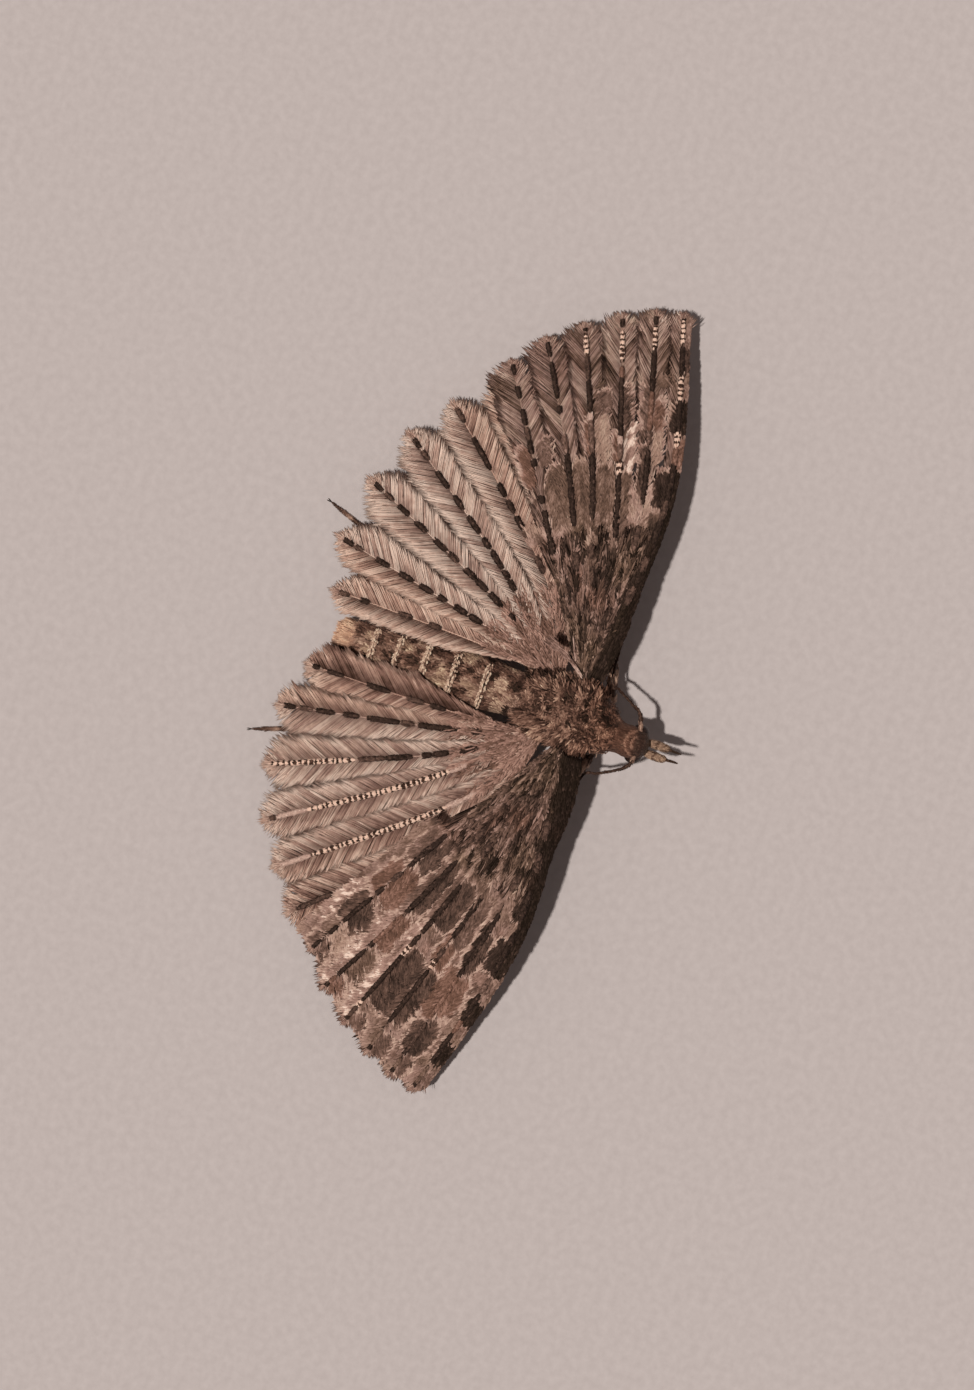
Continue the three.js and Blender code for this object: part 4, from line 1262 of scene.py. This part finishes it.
SEGMENT_EDGES = (-3.0, -2.62, -2.16, -1.65, -1.12, -0.53, 0.0)
LIP = 0.03  # mm


def lip_height(y):
    """How far an abdomen ring stands out at its rear edge."""
    rise = np.zeros_like(y)
    for rear, front in zip(SEGMENT_EDGES, SEGMENT_EDGES[1:]):
        inside = (y >= rear) & (y < front)
        rise[inside] = LIP * (1 - (y[inside] - rear) / (front - rear)) ** 2
    return rise


def body_point(y, angle):
    """A place on the body's skin. Angle 0 is the right side and 90 degrees the back."""
    x, z, half_width, half_height = (eased(y, SECTION[:, 0], SECTION[:, i]) for i in (1, 2, 3, 4))
    lobe = 0.09 * np.exp(-((y - 1.3) / 0.32) ** 2 - ((np.abs(np.cos(angle)) - 0.72) / 0.22) ** 2)
    grown = lip_height(y) + lobe * (np.sin(angle) > 0)
    return np.stack([x + (half_width + grown) * np.cos(angle), y,
                     z + (half_height + grown) * np.sin(angle)], axis=-1)


def body_normal(y, angle):
    """The direction straight out of the body's skin."""
    step = 0.02
    ahead = body_point(y + step, angle) - body_point(y - step, angle)
    around = body_point(y, angle + step) - body_point(y, angle - step)
    return unit(np.cross(ahead, around))


probe = body_normal(np.array([0.95]), np.array([math.pi / 2]))
print("up on the thorax:", probe.round(2))

# %% [markdown]
# ## Body markings
# The thorax is granular, pinkish brown over dark brown and redder in front, and its dark and
# pale specks are painted shade in pits and painted light on bumps between its scale clumps. The
# abdomen is mottled brown with olive patches; on its first rings lie two tan squares, each with
# a black one before it. The head is orange-brown behind and darker in front, with two pale arcs.

# %% Tones of the body
SQUARES = [(-0.03, -0.19), (0.32, -0.12)]
BLACK_SQUARES = [(-0.1, 0.05), (0.33, 0.03)]
HEAD_CENTRE = (0.12, 2.32, 1.34)
EYE_RADIUS = 0.165
EYE_CENTRES = {
    side: np.array(HEAD_CENTRE) + [sign * 0.2, 0.07, -0.02]
    for side, sign in (("left", -1), ("right", 1))
}


def body_tone(point):
    """Tone and warmth of the body's scales at points in mm."""
    x, y = point[:, 0], point[:, 1]
    coarse = patches(x / 0.13 + 40, y / 0.16 + 40)
    fine = patches(x / 0.05 + 10, y / 0.07 + 10)
    thorax = smooth_step(y, -0.1, 0.3)
    front = smooth_step(y, 1.0, 1.9)
    tone = 0.36 - 0.06 * thorax + (0.56 - 0.26 * thorax) * (coarse - 0.5) + 0.4 * (fine - 0.5)
    for edge in SEGMENT_EDGES[1:-1]:
        tone = tone - 0.2 * np.exp(-((y - edge - 0.1) / 0.05) ** 2)
    # Painted shade in pits and painted light on bumps give the thorax its granular look.
    tone = tone - 0.25 * thorax * smooth_step(patches(x / 0.09 + 70, y / 0.09 + 70), 0.6, 0.8)
    tone = tone + 0.25 * thorax * smooth_step(patches(x / 0.08 + 90, y / 0.08 + 90), 0.65, 0.85)
    warm = 0.15 + 0.25 * front - 0.5 * (1 - thorax) * smooth_step(coarse, 0.5, 0.85)
    golden = smooth_step(-y, 2.9, 3.08) * smooth_step(-x, -0.25, -0.1)
    tone = tone * (1 - golden) + (0.8 + 0.2 * (fine - 0.5)) * golden
    warm = warm * (1 - golden) + 0.35 * golden
    back = point[:, 2] > 1.0
    for cx, cy in SQUARES:
        inside = (np.abs(x - cx) < 0.12) & (np.abs(y - cy) < 0.12) & back
        tone[inside] = 0.62
        warm[inside] = -0.2
    for cx, cy in BLACK_SQUARES:
        inside = (np.abs(x - cx) < 0.08) & (np.abs(y - cy) < 0.06) & back
        tone[inside] = 0.05
    head = smooth_step(y, 1.98, 2.08)
    ahead = smooth_step(y, 2.3, 2.42)
    head_tone = 0.28 - 0.12 * ahead + 0.07 * (fine - 0.5)
    far = np.hypot(x - HEAD_CENTRE[0], y - HEAD_CENTRE[1] - 0.13)
    for radius in (0.13, 0.24):
        head_tone += 0.28 * np.exp(-((far - radius) / 0.022) ** 2) * smooth_step(y, 2.44, 2.34)
    tone = tone * (1 - head) + head_tone * head
    warm = warm * (1 - head) + (0.35 - 0.3 * ahead) * head
    return tone, warm


# %% Skin of the body
BODY_TONES = [(0.0, "#1a1310"), (0.95, "#ead2b8"), (0.2, "#3c2b25"), (0.4, "#6e5246"),
              (0.6, "#9f7f6e"), (0.8, "#c9a992")]
body_chitin = scale_chitin("body_scale_chitin", BODY_TONES, 0.5, 0.05, 0.04)
head_chitin = scale_chitin("head_scale_chitin", BODY_TONES, 0.36, 0.05, 0.03, mottle=0.1,
                           pale_tips=0.04)

ROWS, SIDES = 230, 64
ys = np.linspace(SECTION[0, 0], SECTION[-1, 0], ROWS)
turns = np.linspace(0, 2 * math.pi, SIDES, endpoint=False)
grid_y, grid_turn = np.meshgrid(ys, turns, indexing="ij")
skin_points = body_point(grid_y.ravel(), grid_turn.ravel())
skin_faces = [
    (i * SIDES + j, (i + 1) * SIDES + j, (i + 1) * SIDES + (j + 1) % SIDES, i * SIDES + (j + 1) % SIDES)
    for i in range(ROWS - 1)
    for j in range(SIDES)
]
skin_faces.append(tuple(range(SIDES)))
skin_faces.append(tuple((ROWS - 1) * SIDES + j for j in range(SIDES))[::-1])
tone, warm = body_tone(skin_points)
body_skin = build("body_skin", skin_points, skin_faces, body_chitin, {"tone": tone, "warm": warm})
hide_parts("thorax", "abdomen", "head")
print("body skin:", len(skin_points), "points")

# %% [markdown]
# ## The coat of the body
# Scales on the abdomen lie flat in rows, with a dark band just before each ring's rear edge.
# Those of the thorax are a little shorter, turned in whorls and heaped in clumps, which makes
# it granular, and long ones from its sides lie over the roots of the wings. On the head they
# are short and close. Outside the whorls they point to the rear. Whitish rods of short scales
# cross the back at the rings' edges, and a brush, golden at its left, closes the tail.

# %% Body coat
BODY_FROM, BODY_TO = SECTION[0, 0], SECTION[-1, 0]
RODS = (  # y of each rod, and where it starts and ends across the back
    (-0.53, -0.34, 0.4),
    (-1.12, -0.34, 0.4),
    (-1.655, -0.32, 0.3),
    (-2.165, -0.3, 0.34),
    (-2.62, -0.28, 0.26),
)
ROD_SCALES = 190
TAIL_SCALES = 900
SHOULDER_SCALES = 1100


def body_place(y, turn):
    """Where a blade's colour lies on the unrolled skin."""
    return np.stack([(turn / (2 * math.pi)) % 1, (y - BODY_FROM) / (BODY_TO - BODY_FROM)], axis=1)


def body_coat(y_from, y_to, row, length, width, lift, rng, curl=0.0, spread=0.08, tidy=0.5,
              raised=0.0):
    """Scales in staggered rows round the body; curl turns them in whorls, as a shaggy coat has."""
    ys, turns = [], []
    for n, y in enumerate(np.arange(y_from, y_to, row)):
        half = float(eased(np.array([y]), SECTION[:, 0], SECTION[:, 3])[0])
        count = max(6, int(2 * math.pi * half / row))
        turn = (np.arange(count) + 0.5 * (n % 2)) * 2 * math.pi / count
        turns.append(turn + rng.normal(0, tidy * math.pi / count, count))
        ys.append(np.full(count, y) + rng.normal(0, tidy * 0.5 * row, count))
    y = np.clip(np.concatenate(ys), BODY_FROM + 0.01, BODY_TO - 0.01)
    turn = np.concatenate(turns)
    point = body_point(y, turn)
    seen = np.ones(len(y), dtype=bool)
    for centre in EYE_CENTRES.values():
        seen &= np.linalg.norm(point - centre, axis=1) > EYE_RADIUS + 0.01
    y, turn, point = y[seen], turn[seen], point[seen]
    count = len(y)
    out = body_normal(y, turn)
    back = unit(body_point(y - 0.02, turn) - point)
    across = np.cross(out, back)
    whorl = patches(point[:, 0] / 0.17 + 50, y / 0.17 + 50) - 0.5
    swirl = (2 * math.pi * curl * whorl + rng.normal(0, 0.16 + 0.3 * curl, count))[:, None]
    rise = rng.uniform(*lift, count) * (1 - 0.75 * smooth_step(y, 1.5, 1.75))
    way = back * np.cos(swirl) + across * np.sin(swirl) + out * rise[:, None]
    tone, warm = body_tone(point)
    tone = tone + rng.normal(0, spread, count)
    clump = 2 * patches(point[:, 0] / 0.1 + 60, y / 0.1 + 60)
    return blades(point + out * (raised * clump)[:, None], way, out, rng.uniform(*length, count),
                  rng.uniform(*width, count), tone, warm, body_place(y, turn), form=SCALE, arch=0.08,
                  droop=0.08, bend=rng.uniform(-0.6, 0.6, count) * curl, thick=0.16)


def back_rods(rng):
    """Whitish bundles of short scales across the back at the rings' edges."""
    sets = []
    for y, x_from, x_to in RODS:
        count = ROD_SCALES
        x = rng.uniform(x_from, x_to, count)
        mid = eased(np.full(count, y), SECTION[:, 0], SECTION[:, 1])
        half = eased(np.full(count, y), SECTION[:, 0], SECTION[:, 3]) + LIP
        turn = np.arccos(np.clip((x - mid) / half, -0.98, 0.98))
        here = np.full(count, y) + rng.normal(0, 0.02, count)
        point = body_point(here, turn)
        out = body_normal(here, turn)
        way = np.array([1.0, 0.05, 0.0]) + out * 0.1 + rng.normal(0, 0.25, (count, 3))
        sets.append(blades(point + out * 0.05, way, out, rng.uniform(0.04, 0.07, count), 0.03,
                           rng.normal(0.74, 0.14, count), 0.0, body_place(here, turn), arch=0.08))
    return sets


def tail_brush(rng):
    """The short brush that closes the tail, golden at its left."""
    count = TAIL_SCALES
    turn = rng.uniform(0, 2 * math.pi, count)
    y = BODY_FROM + 0.02 + 0.16 * rng.random(count)
    point = body_point(y, turn)
    out = body_normal(y, turn)
    way = np.array([0, -1.0, 0.02]) + out * rng.uniform(0.0, 0.5, count)[:, None]
    tone, warm = body_tone(point)
    return blades(point, way, out, rng.uniform(0.12, 0.22, count), 0.024,
                  tone + rng.normal(0, 0.1, count), warm, body_place(y, turn), arch=0.03, droop=0.05)


def shoulder_scales(sign, rng):
    """Long scales from the thorax's side, laid back over the roots of the wings."""
    count = SHOULDER_SCALES
    y = rng.uniform(0.25, 1.6, count)
    turn = np.radians(rng.uniform(8, 62, count))
    turn = turn if sign > 0 else math.pi - turn
    point = body_point(y, turn)
    out = body_normal(y, turn)
    share = smooth_step(y, 0.3, 1.5)
    way = np.stack([sign * (0.45 + 0.5 * share), -1.0 + 0.7 * share, 0.05 + 0.15 * rng.random(count)],
                   axis=1) + rng.normal(0, 0.25, (count, 3))
    tone, warm = body_tone(point)
    return blades(point, way, UP, rng.uniform(0.1, 0.24, count), rng.uniform(0.022, 0.034, count),
                  tone + rng.normal(0, 0.08, count), warm, body_place(y, turn), form=SCALE, arch=0.1,
                  droop=0.15, bend=rng.uniform(-0.25, 0.25, count), thick=0.16)


# %% Coats laid on the body
rng = np.random.default_rng(61)
abdomen_sets = [body_coat(-3.15, 0.28, 0.035, (0.08, 0.13), (0.028, 0.042), (0.04, 0.2), rng, 0.2)]
abdomen_sets += back_rods(rng)
abdomen_sets.append(tail_brush(rng))
thorax_sets = [
    body_coat(0.1, 1.98, 0.031, (0.07, 0.11), (0.024, 0.036), (0.03, 0.2), rng, 0.5, 0.07),
    body_coat(0.15, 1.9, 0.038, (0.06, 0.1), (0.024, 0.036), (0.05, 0.35), rng, 1.2, 0.09, 1.0, 0.025),
    shoulder_scales(1, rng),
    shoulder_scales(-1, rng),
]
head_sets = [
    body_coat(1.86, 2.16, 0.026, (0.07, 0.12), (0.024, 0.036), (0.05, 0.25), rng, 0.15, 0.06),
    body_coat(2.1, 2.59, 0.024, (0.05, 0.08), (0.022, 0.034), (0.02, 0.1), rng, 0.05, 0.04),
]
for name, sets, finish, slot in (("abdomen_coat", abdomen_sets, body_chitin, "body_scales"),
                                 ("thorax_coat", thorax_sets, body_chitin, "body_scales"),
                                 ("head_coat", head_sets, head_chitin, "head_scales")):
    piece = coat(name, sets, finish, smooth=False)

# %% [markdown]
# ## Eyes
# A moth's compound eye is a dark satin ball of small lenses. The ball's points are raised
# near the middle of each lens, and the lenses are spread by the golden angle, which packs a
# ball evenly. Real lenses are about 0.015 mm wide, too fine to show; these are twice that.

# %% Eyes
LENSES = 420

eye_glass, tree = new_material("eye_lens_cuticle")
where = add(tree, "ShaderNodeTexCoord")
lens_cells = add(tree, "ShaderNodeTexVoronoi", {"Vector": where.outputs["Object"],
                                                "Scale": 1 / 0.00003})
depth = add(tree, "ShaderNodeValToRGB", {"Fac": lens_cells.outputs["Distance"]},
            stops=[(0.0, "#3a2620"), (0.8, "#120b0a")])
eye_shader = add(tree, "ShaderNodeBsdfPrincipled",
                 {"Base Color": depth.outputs["Color"], "Roughness": 0.3, "IOR": 1.56,
                  "Specular IOR Level": 0.3, "Coat Weight": 0.05, "Coat Roughness": 0.1})
add(tree, "ShaderNodeOutputMaterial", {"Surface": eye_shader.outputs["BSDF"]})

lens_number = np.arange(LENSES) + 0.5
lens_turn = lens_number * math.pi * (3 - math.sqrt(5))
lens_z = 1 - 2 * lens_number / LENSES
lens_ring = np.sqrt(1 - lens_z**2)
LENS_CENTRES = np.stack([lens_ring * np.cos(lens_turn), lens_ring * np.sin(lens_turn), lens_z], axis=1)


def ball(rows, sides):
    """Unit directions and faces of a closed ball."""
    polar = np.linspace(0, math.pi, rows + 1)[1:-1]
    turn = np.linspace(0, 2 * math.pi, sides, endpoint=False)
    down, round_it = np.meshgrid(polar, turn, indexing="ij")
    ring = [np.sin(down) * np.cos(round_it), np.sin(down) * np.sin(round_it), np.cos(down)]
    body = np.stack(ring, axis=-1).reshape(-1, 3)
    points = np.concatenate([body, [[0, 0, 1], [0, 0, -1]]])
    last = (rows - 2) * sides
    faces = []
    for j in range(sides):
        k = (j + 1) % sides
        faces += [(i * sides + j, (i + 1) * sides + j, (i + 1) * sides + k, i * sides + k)
                  for i in range(rows - 2)]
        faces.append((len(body), j, k))
        faces.append((last + k, last + j, len(body) + 1))
    return points, faces


for side in ("left", "right"):
    directions, faces = ball(56, 88)
    nearest = (directions @ LENS_CENTRES.T).max(axis=1)
    far = np.arccos(np.clip(nearest, -1, 1)) / math.sqrt(4 / LENSES)
    radius = EYE_RADIUS * (1 - 0.035 * far**2)
    piece = build("eye_" + side + "_lenses", EYE_CENTRES[side] + directions * radius[:, None], faces,
                  eye_glass)
    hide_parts("eye_" + side)
    print(piece.name, LENSES, "lenses")

# %% [markdown]
# ## Limbs: feelers, palps and legs
# All of them are jointed tubes with a coat, so one function makes them: a path, a thickness
# along it, and a row of joints where the tube swells a little. Their scales lie towards the
# tip. Feelers are ringed many times, palps have three parts, and legs end in five short
# joints with two claws.

# %% Limb helper
pale_chitin = scale_chitin("limb_scale_chitin", BODY_TONES, 0.45, 0.1, 0.05)


def limb(name, path, radii, joints, swell, tones, sides, spacing, size, replaced, seed,
         mirrored, floor_at=None):
    """A jointed limb with its coat; tones gives tone and warmth at a share of the length."""
    stations = np.linspace(0, 1, len(path))
    share = np.linspace(0, 1, 150)
    centres = np.stack([eased(share, stations, np.array(path)[:, i]) for i in range(3)], axis=1)
    radius = eased(share, np.linspace(0, 1, len(radii)), radii)
    for joint in joints:
        radius = radius + swell * radius * np.exp(-((share - joint) / 0.006) ** 2)
    if floor_at is not None:
        radius = radius * (1 - 0.6 * smooth_step(share, 0.96, 1.0))
        low = smooth_step(share, floor_at - 0.12, floor_at)
        centres[:, 2] = centres[:, 2] * (1 - low) + (radius + 0.012) * low
    points, faces = tube(centres, radius, sides)
    tone, warm = tones(share)
    piece = build(name + "_skin", points, faces, pale_chitin,
                  {"tone": np.repeat(tone, sides), "warm": np.repeat(warm, sides)}, mirrored=mirrored)
    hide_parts(replaced)
    rng = np.random.default_rng(seed)
    walked = length_walked(centres)
    rows = int(walked[-1] / spacing)
    around = max(5, int(2 * math.pi * np.mean(radius) / (0.8 * size[1])))
    at = np.repeat(np.linspace(0.01, 0.985, rows), around)
    at = at + rng.normal(0, 0.3 / rows, len(at))
    turn = np.tile(np.arange(around) * 2 * math.pi / around, rows) + rng.uniform(0, 6.3, len(at))
    here = np.interp(at * walked[-1], walked, share)
    centre = np.stack([np.interp(here, share, centres[:, i]) for i in range(3)], axis=1)
    along = unit(np.stack([np.interp(here, share, np.gradient(centres[:, i])) for i in range(3)], axis=1))
    across = unit(np.cross(UP, along))
    out = across * np.cos(turn)[:, None] + np.cross(along, across) * np.sin(turn)[:, None]
    thick = np.interp(here, share, radius)
    root = centre + out * thick[:, None]
    way = along + out * rng.uniform(0.05, 0.25, len(at))[:, None]
    tone, warm = tones(here)
    place = np.stack([(turn / (2 * math.pi)) % 1, here], axis=1)
    fit = np.clip(thick / np.mean(radius), 0.45, 1.2)
    blade = blades(root, way, out, size[0] * fit, size[1] * fit, tone + rng.normal(0, 0.06, len(at)),
                   warm, place, form=SCALE, arch=0.05, thick=0.16)
    sets = [blade]
    if floor_at is not None:
        ahead = unit(centres[-1:] - centres[-4:-3])
        aside = np.cross(UP, ahead)
        way = np.concatenate([ahead + 0.4 * aside, ahead - 0.4 * aside])
        sets.append(blades(np.repeat(centres[-1:], 2, axis=0), way, UP, 0.1, 0.018, 0.05, 0.0,
                           np.array([[0.2, 0.99], [0.7, 0.99]]), bend=np.array([0.2, -0.2]), droop=0.1))
    for each in sets:
        each["points"][:, :, 2] = np.maximum(each["points"][:, :, 2], 0.001)
    piece = coat(name + "_coat", sets, pale_chitin, mirrored=mirrored, smooth=False)


# %% Feelers and palps
def feeler_tones(share):
    """A tan first joint, then a dark feeler with faint narrow bands."""
    band = np.modf(share * 34)[0] > 0.6
    base = 1 - smooth_step(share, 0.06, 0.09)
    return 0.2 - 0.08 * band + 0.34 * base, np.full(len(share), 0.0)


def palp_tones(share):
    """Tan-grey palps with dark tips."""
    tone = 0.56 - 0.36 * smooth_step(share, 0.6, 0.66) - 0.25 * (np.abs(share - 0.3) < 0.03)
    return tone, np.full(len(share), -0.35)


FEELER_PATHS = {
    "left": [(.1, 2.38, 1.5), (.4, 2.27, 1.53), (.53, 2.07, 1.46), (.68, 1.8, 1.32),
             (.86, 1.6, 1.2), (1.9, 1.54, 1.1), (2.9, 1.57, 1.05), (3.84, 1.55, 0.98)],
    "right": [(.32, 2.42, 1.5), (.51, 2.38, 1.53), (.68, 2.2, 1.46), (.85, 1.9, 1.3),
              (1.0, 1.66, 1.16), (1.9, 1.55, 1.1), (2.9, 1.57, 1.05), (3.84, 1.55, 0.98)],
}
PALP_PATH = [(.09, .2, -.2), (.1, .38, -.17), (.1, .56, -.08), (.09, .72, .03), (.085, .86, .18)]
for side in ("left", "right"):
    sign = 1 if side == "right" else -1
    lean = HEAD_CENTRE[0] * sign
    limb("antenna_" + side, FEELER_PATHS[side], (.04, .028, .02, .019, .018, .018, .017, .015, .012),
         np.linspace(0.06, 0.98, 44), 0.25, feeler_tones, 10, 0.045, (0.055, 0.022),
         "antenna_" + side, 71 + sign, sign < 0)
    path = [(x + lean, y + HEAD_CENTRE[1], z + HEAD_CENTRE[2]) for x, y, z in PALP_PATH]
    limb("palp_" + side, path, (.045, .062, .07, .068, .055, .026, .022, .018, .008), (0.3, 0.62),
         0.1, palp_tones, 12, 0.02, (0.06, 0.02), "palp_" + side, 75 + sign, sign < 0)

# %% Legs
LEGS = {
    "foreleg": ([(.2, 1.6, 1.0), (.4, 1.7, .66), (.9, 1.6, .56), (1.3, 1.5, .22), (1.75, 1.47, .12),
                 (2.3, 1.44, .08)], (.08, .1, .08, .06, .045, .04, .03), 0.64),
    "midleg": ([(.26, 1.1, 1.0), (.5, 1.1, .56), (1.25, 1.06, .5), (2.1, .96, .24), (2.6, .9, .12),
                (3.25, .82, .08)], (.09, .11, .08, .06, .05, .04, .03), 0.64),
    "hindleg": ([(.26, .58, 1.0), (.48, .38, .48), (.94, -.6, .36), (1.36, -1.9, .26), (1.7, -2.9, .13),
                 (2.17, -4.22, .08)], (.09, .11, .08, .06, .05, .045, .03), 0.66),
}


def leg_tones(share):
    """Pale legs with dark bands, narrow on the foot."""
    toe = smooth_step(share, 0.55, 0.6)
    band = (np.modf(share * 6.5)[0] > 0.62) * (1 - toe) + (np.modf(share * 14)[0] > 0.5) * toe
    return 0.62 - 0.4 * band - 0.3 * smooth_step(share, 0.93, 0.96) * (1 - band), np.full(len(share), 0.0)


for number, (name, (path, radii, foot_from)) in enumerate(LEGS.items()):
    for side in ("left", "right"):
        joints = (0.2, 0.42, foot_from, foot_from + 0.09, foot_from + 0.17, foot_from + 0.24,
                  foot_from + 0.3)
        limb(name + "_" + side, path, radii, joints, 0.18, leg_tones, 10, 0.06, (0.11, 0.036),
             name + "_" + side, 81 + 2 * number + (side == "left"), side == "left",
             floor_at=foot_from)

# %% [markdown]
# ## Sizes
# Both boxes, of the imported model and of the dressed animal, are printed. The dressed animal
# has to stay in the box of the imported model, apart from a few percent.

# %% Both boxes
visual_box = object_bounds()
for label, box in (("packed", cad_box), ("dressed", visual_box)):
    print(label, "box, mm:", [[round(value / MM, 2) for value in corner] for corner in box])
